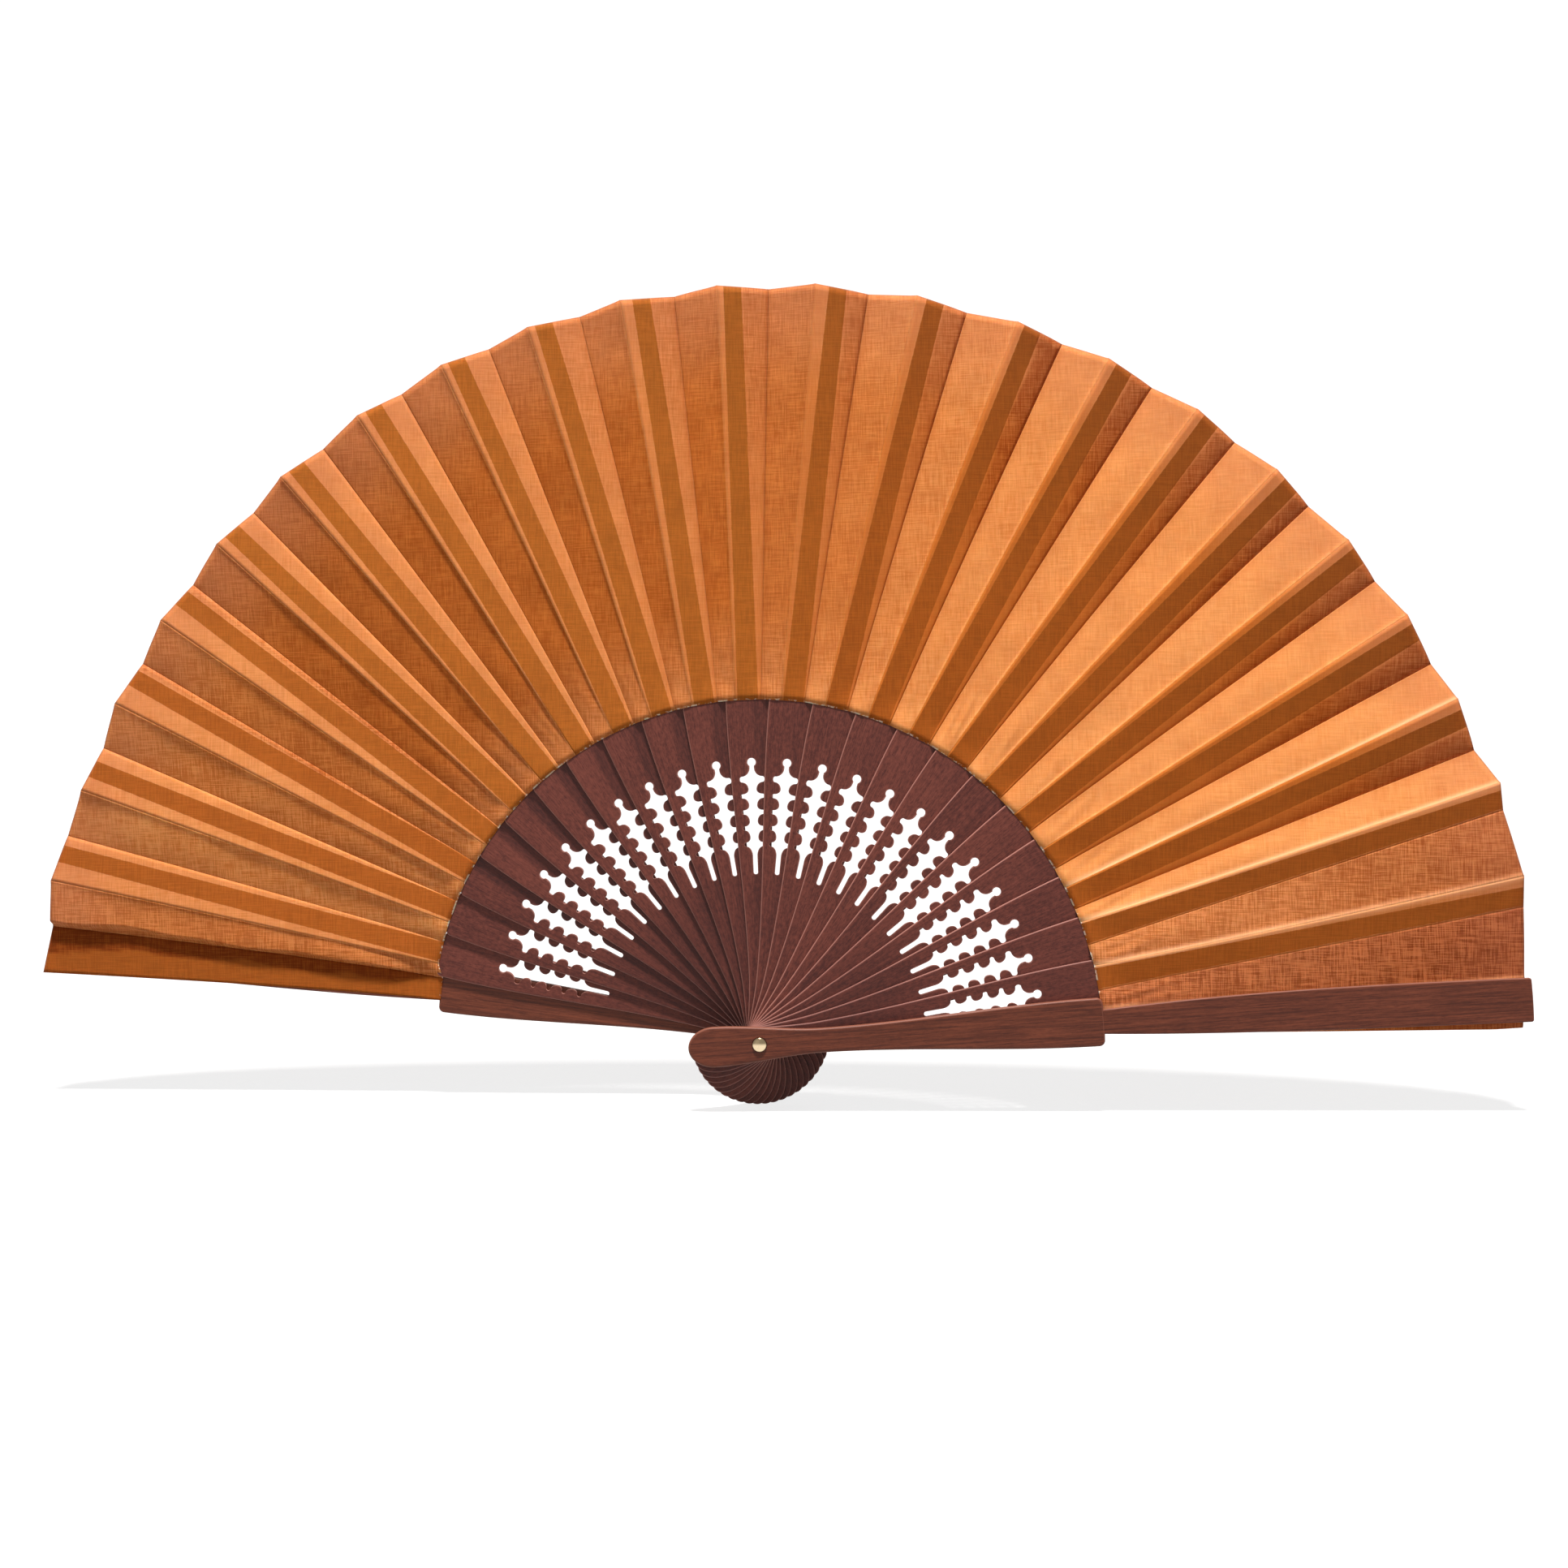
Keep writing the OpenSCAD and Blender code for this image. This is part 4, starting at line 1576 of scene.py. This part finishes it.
    def ripple(
        self, seed: int, share: np.ndarray, across: np.ndarray, height: float, gather: float = 0.75
    ) -> np.ndarray:
        """Soft waves of the cloth: a few sines along the pleat that vanish at the folds.

        Slanting waves are added near the inner edge, where the cloth is gathered.

        Args:
            seed: Picks the waves' lengths and phases.
            share: Share of the length.
            across: Share of the width.
            height: Largest height.
            gather: Share of the slanting waves.

        Returns:
            Depth to add.
        """
        rng = np.random.default_rng(seed)
        total = np.zeros_like(share)
        for turns in self.waves:
            phase, slant = rng.uniform(0, 2 * math.pi), rng.uniform(-0.6, 0.6)
            total += np.sin(2 * math.pi * turns * (share + slant * 0.1 * across) + phase) / turns**0.7
        phase, slant = rng.uniform(0, 2 * math.pi), rng.uniform(0.05, 0.12)
        turns = self.gather_turns * share - slant * self.gather_slant * across
        gathered = np.sin(2 * math.pi * turns + phase)
        total += gather * gathered * np.exp(-(((share - self.gather_at) / self.gather_spread) ** 2))
        return height * total * np.sin(math.pi * across) ** 0.8

    def glued(self, k: int) -> None:
        """Makes the pleat glued to blade k. It spans from the front fold to the rear fold.

        Args:
            k: Blade number.
        """
        share, across = self.grid()
        r = self.reach(k, share, across)
        v = mix(self.front(k, r), self.rear(k, r), across)
        if k == 0:
            v = np.clip(v, -self.guard_reach, self.rib_half(r) + self.guard_cover * self.share(r))
        y = self.depth(k, r, v)
        if 0 < k < self.layout.last:
            bare = ease((np.abs(v - self.lean(k, r)) - self.stuck_half) / self.stuck_blur)
            y = y + self.ripple(self.glued_seed + k, share, across, self.glued_wave) * bare
        width = self.front(k, r) - self.rear(k, r)
        folds = across * width, (1 - across) * width
        ends = r - self.reach(k, 0 * share, across), self.reach(k, 0 * share + 1, across) - r
        flat = self.layout.place(k, np.stack([r, v, y], -1))
        shell = Shell()
        shell.add(flat, **self.surface_values(k, (r, v), ends, folds, flat, Panel.GLUED))
        piece = shell.build(f"glued_pleat_{k:02d}", weld=False)
        self.thicken(piece)
        dress(piece, self.glued_material, self.layout.body(k), [f"leaf_pleat_{k:02d}"], 0.0)
        guards = {0: "front_guard_wood", self.layout.last: "rear_guard_wood"}
        blade = guards.get(k, f"pierced_stick_{k:02d}")
        self.declare(piece, width, self.outer_r - self.foot_r, [blade])

    def free(self, k: int) -> None:
        """Makes the free pleat between blade k and the next.

        The straight mix of the two folds gives its plan. It stands a little behind the straight
        line near the front fold, so that it clears the rib when the fan is closed. The last one
        hangs loose: it keeps its depth, and drops to the rear guard close to its rear fold.

        Its turning share has to be 0 along the whole front fold and 1 along the whole rear fold,
        which are not parallel. So the pleat is blended while it lies in its flat pattern, where x
        is the share of its width passed through the inverse of the smoothstep, and its points then
        go to their places.

        Args:
            k: Number of the blade in front.
        """
        share, across = self.grid(self.free_extra)
        near_r, far_r = self.reach(k, share, 0 * across), self.reach(k + 1, share, 0 * across + 1)
        near_v, far_v = self.front(k, near_r), self.rear(k + 1, far_r)
        near = self.layout.place(k, np.stack([near_r, near_v, self.depth(k, near_r, near_v)], -1))
        far = self.layout.place(k + 1, np.stack([far_r, far_v, self.depth(k + 1, far_r, far_v)], -1))
        flat = mix(near, far, across[..., None])
        if k + 1 == self.layout.last:
            start = 0.83 + 0.05 * np.sin(13.0 * share + 1.0) + 0.03 * np.sin(29.0 * share)
            loose = 0.15 * across + 0.85 * ease((across - start) / 0.11)
            drop = mix(across, loose, ease(share / self.loose_share))
            flat[..., 1] = mix(near[..., 1], far[..., 1], drop)
        width = np.linalg.norm(far - near, axis=-1)
        lift = self.crease_lift * (1 - np.exp(-across / self.onset(k, near_r, near_v, width)))
        lift = lift * (1 - across) ** 2 * ease(share / self.lift_share)
        released = ease(share / self.held_share)
        held = self.held_depth * self.layout.pitch * np.sin(math.pi * across) * (1 - released)
        gather = float(np.interp(k, *self.gathering))
        waves = self.ripple(k, share, across, self.free_wave, gather)
        flat[..., 1] += lift - held + waves * released
        folds = across * width, (1 - across) * width
        length = self.outer_r - self.foot_r
        ends = share * length, (1 - share) * length
        pattern_x = 0.5 - np.sin(np.arcsin(1 - 2 * across) / 3)
        pattern = np.stack([pattern_x, np.zeros_like(share), share * MM], -1) / MM
        shell = Shell()
        shell.add(pattern, **self.surface_values(k, (near_r, near_v), ends, folds, flat, Panel.FREE))
        piece = shell.build(f"free_pleat_{k:02d}", weld=False)
        bodies = self.layout.body(k), self.layout.body(k + 1)
        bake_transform(piece)
        piece.data.vertices.foreach_set("co", (flat * MM).reshape(-1).astype(np.float32))
        piece.data.update()
        self.thicken(piece)
        piece.data.materials.append(self.free_material)
        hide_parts("leaf_free_pleats")
        self.declare(piece, width, length, [f"glued_pleat_{k:02d}"])
        LOG.info("%s bends between %s and %s", piece.name, *bodies)

    def thicken(self, piece: bpy.types.Object) -> None:
        """Gives the cloth its thickness, half on each side of the surface.

        Args:
            piece: The pleat.
        """
        modifier = piece.modifiers.new("cloth_thickness", "SOLIDIFY")
        modifier.thickness = self.cloth_t * MM
        modifier.offset = 0.0

    @staticmethod
    def declare(piece: bpy.types.Object, width: np.ndarray, length: float, rests: list[str]) -> None:
        """Does nothing: the pleat is not declared as a sheet cut to a tapered strip.

        Args:
            piece: The pleat; not used.
            width: Its width at each point, millimetres; not used.
            length: Its length, millimetres; not used.
            rests: Names of what it lies on; not used.
        """

    def build(self) -> None:
        """Makes the glued pleats, then the free ones, each from the front guard to the rear guard."""
        for k in range(self.layout.last + 1):
            self.glued(k)
        for k in range(self.layout.last):
            self.free(k)


# ---------------------------------------------------------------- rivet


@dataclass
class Rivet:
    """The brass rivet: a domed head on each guard and a pin between them."""

    layout: Layout
    material: bpy.types.Material
    face_y: float
    pin_radius: float = 1.0
    head_radius: float = 2.05
    rim: float = 0.16
    head_h: float = 1.0
    rear_head_h: float = 0.8
    guard_t: float = 2.2
    head_gap: float = 0.05

    def profile(self, height: float) -> np.ndarray:
        """Dome profile: a rolled rim, then a flat arc of an ellipse to the top.

        Args:
            height: Height of the dome.

        Returns:
            Points (radius, height), from the middle of the base.
        """
        rim = ellipse_arc((self.head_radius - self.rim, self.rim), (self.rim,) * 2, (-90.0, 55.0), 8)
        base = 1.5 * self.rim
        top = ellipse_arc((0.0, base), (rim[-1, 0], height - base), (6.0, 90.0), 14)
        inner = np.array([[0.0, 0.0]])
        return np.concatenate([inner, rim, top])

    def revolve(self, profile: np.ndarray, base: float, out: float) -> np.ndarray:
        """Turns a profile about the rivet's axis: (radius cos, base + out height, radius sin).

        Args:
            profile: Points (radius, height).
            base: Depth where the height is 0.
            out: Direction of the height along the rivet.

        Returns:
            A grid that is closed round the axis.
        """
        a = np.linspace(0.0, 2 * math.pi, 49)[None, :]
        radius, height = profile[:, :1], profile[:, 1:]
        return np.stack([radius * np.cos(a), base + out * height + 0 * a, radius * np.sin(a)], -1)

    def build(self) -> None:
        """Makes the front head with its pin, and the rear head."""
        front = -(self.face_y + self.guard_t)
        rear = self.face_y + self.guard_t + self.head_gap
        pin = np.array([[0.0, 0.0], [self.pin_radius, 0.0], [self.pin_radius, rear - front]])
        pin = np.concatenate([pin, [[0.0, rear - front]]])
        fore, back = Shell(), Shell()
        fore.add(self.revolve(self.profile(self.head_h), front, -1.0))
        fore.add(self.revolve(pin, front, 1.0))
        back.add(self.revolve(self.profile(self.rear_head_h), rear, 1.0))
        for shell, name, node in ((fore, "front_head", "rivet"), (back, "back_head", "rivet_rear_head")):
            piece = shell.build(f"rivet_{name}")
            dress(piece, self.material, self.layout.body(0), [node], 0.0)


# ---------------------------------------------------------------- studio


@dataclass
class Studio:
    """Pale floor and backdrop, soft lamps and the camera."""

    lowest: float
    centre: Point
    target: Point = (0.0064, 0.0, 0.0701)
    azimuth: float = 2.64
    elevation: float = 1.54
    roll: float = -0.34
    distance: float = 0.6
    lens: float = 49.94
    sensor: float = 36.0
    key_power: float = 96.0
    key_place: Point = (0.05, -0.8, 2.3)
    key_size: float = 0.24
    fill_power: float = 1.0
    fill_place: Point = (-0.5, -1.3, 0.3)
    fill_size: float = 0.9
    lamp_colour: Colour = (1.0, 0.98, 0.96)
    floor_front: float = -3.0
    floor_back: float = 0.9
    floor_bend: float = 0.5
    floor_half: float = 3.5
    wall_top: float = 3.0
    ambient: float = 0.165
    floor_tone: float = 0.28
    floor_glow: float = 0.78

    def camera(self) -> None:
        """Places the camera on a sphere about its target, turned a little about its own axis."""
        a, e = math.radians(self.azimuth), math.radians(self.elevation)
        back = np.array([math.sin(a) * math.cos(e), -math.cos(a) * math.cos(e), math.sin(e)])
        place = np.array(self.target) + back * self.distance
        right = np.cross(-back, (0.0, 0.0, 1.0))
        right /= np.linalg.norm(right)
        up = np.cross(right, -back)
        c, s = math.cos(math.radians(self.roll)), math.sin(math.radians(self.roll))
        right, up = c * right + s * up, -s * right + c * up
        data = bpy.data.cameras.new("camera")
        data.lens, data.sensor_width = self.lens, self.sensor
        data.clip_start, data.clip_end = 0.01, 20.0
        camera = bpy.data.objects.new("camera", data)
        bpy.context.scene.collection.objects.link(camera)
        matrix = np.eye(4)
        matrix[:3, 0], matrix[:3, 1], matrix[:3, 2], matrix[:3, 3] = right, up, back, place
        camera.matrix_world = Matrix(matrix.tolist())
        bpy.context.scene.camera = camera

    def lamp(self, name: str, place: Point, power: float, size: float) -> None:
        """A square soft lamp that faces the fan.

        Args:
            name: Its name.
            place: Where it stands, metres.
            power: Watts.
            size: Its side, metres.
        """
        data = bpy.data.lights.new(name, "AREA")
        data.energy, data.size, data.color = power, size, self.lamp_colour
        lamp = bpy.data.objects.new(name, data)
        bpy.context.scene.collection.objects.link(lamp)
        lamp.location = place
        aim = Vector(self.centre) - Vector(place)
        lamp.rotation_euler = aim.to_track_quat("-Z", "Y").to_euler()

    def backdrop(self) -> None:
        """A floor that curves up into a wall: flat, then a quarter of a circle, then upright."""
        bend, depth = self.floor_bend, self.floor_back
        turn = np.radians(np.linspace(0.0, 90.0, 17))
        floor_y = np.linspace(self.floor_front, depth, 6)[:-1]
        wall_z = np.linspace(bend, self.wall_top, 6)[1:]
        y = np.concatenate([floor_y, depth + bend * np.sin(turn), np.full_like(wall_z, depth + bend)])
        z = np.concatenate([np.zeros_like(floor_y), bend * (1 - np.cos(turn)), wall_z]) + self.lowest
        x, y = np.meshgrid(np.linspace(-self.floor_half, self.floor_half, 9), y)
        shell = Shell()
        shell.add(np.stack([x, y, np.broadcast_to(z[:, None], x.shape)], -1) / MM, flip=True)
        floor = shell.build("pale_floor", weld=False)
        made, g = new_material("pale_floor")
        look = {
            "Base Color": (self.floor_tone,) * 3 + (1.0,),
            "Roughness": 0.9,
            "Specular IOR Level": 0.1,
            "Emission Color": (1.0, 1.0, 1.0, 1.0),
            "Emission Strength": g.product(g.looked_at(), self.floor_glow),
        }
        g.surface("BsdfPrincipled", look)
        floor.data.materials.append(made)
        floor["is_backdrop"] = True

    def world(self) -> None:
        """Soft light from all round; the world itself is seen as white."""
        world = bpy.data.worlds.new("studio")
        world.use_nodes = True
        bpy.context.scene.world = world
        g = Graph(world.node_tree)
        strength = g.math("MULTIPLY_ADD", g.looked_at(), 1.0 - self.ambient, self.ambient)
        g.surface("Background", {"Color": (1.0, 1.0, 1.0, 1.0), "Strength": strength}, "OutputWorld")

    def build(self) -> None:
        """Sets the whole studio up."""
        self.camera()
        self.backdrop()
        self.world()
        self.lamp("key", self.key_place, self.key_power, self.key_size)
        self.lamp("fill", self.fill_place, self.fill_power, self.fill_size)
        bpy.context.scene.view_settings.view_transform = "Standard"


def main() -> None:
    """Loads the frame and dresses it, sub-assembly by sub-assembly."""
    logging.basicConfig(level=logging.INFO, format="%(name)s: %(message)s")
    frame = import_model()
    cad_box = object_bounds()
    turns = [joint["range_deg"][1] for joint in frame["joints"]]
    layout = Layout(stick_count=len(turns) - 1, end_step=turns[0], stick_step=turns[1])
    face_y = -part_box("front_guard")[1].y / MM

    grain, weave = wood_grain_group(), weave_group()
    stick_wood = WoodFinish("stick_wood", (0.19, 0.05, 0.034), (0.06, 0.0125, 0.0095), (0.55, 0.25, 0.2))
    guard_wood = WoodFinish(
        "guard_wood",
        (0.19, 0.049, 0.024),
        (0.06, 0.0125, 0.006),
        (0.3, 0.11, 0.07),
        roughness=0.45,
        mottle=0.1,
    )
    glued_cloth = ClothFinish("glued_cloth", (0.84, 0.34, 0.12), (0.66, 0.22, 0.055), weave=0.7)
    free_cloth = ClothFinish("free_cloth", (0.87, 0.37, 0.125), (0.65, 0.21, 0.05), plain_foot=0.8)
    stick_material = stick_wood.material(grain)
    rib = Rib()
    leaf = Leaf(layout, rib, glued_cloth.material(weave), free_cloth.material(weave), face_y)
    stick_shape = BladeShape(head_r=18.6, head_w=9.6, waist_w=6.2, top_r=94.6, head_nose=9.5)
    Sticks(layout, rib, stick_shape, Motif(), stick_material).build(leaf)
    guard_shape = BladeShape(head_r=19.4, head_w=10.9, waist_w=6.6, top_r=93.0)
    Guards(layout, guard_shape, guard_wood.material(grain), face_y).build()
    leaf.build()
    Rivet(layout, BrassFinish().material(), face_y).build()
    middle = (cad_box[0] + cad_box[1]) / 2
    Studio(lowest=cad_box[0].z - FLOOR_GAP, centre=tuple(middle)).build()


if __name__ == "__main__":
    main()
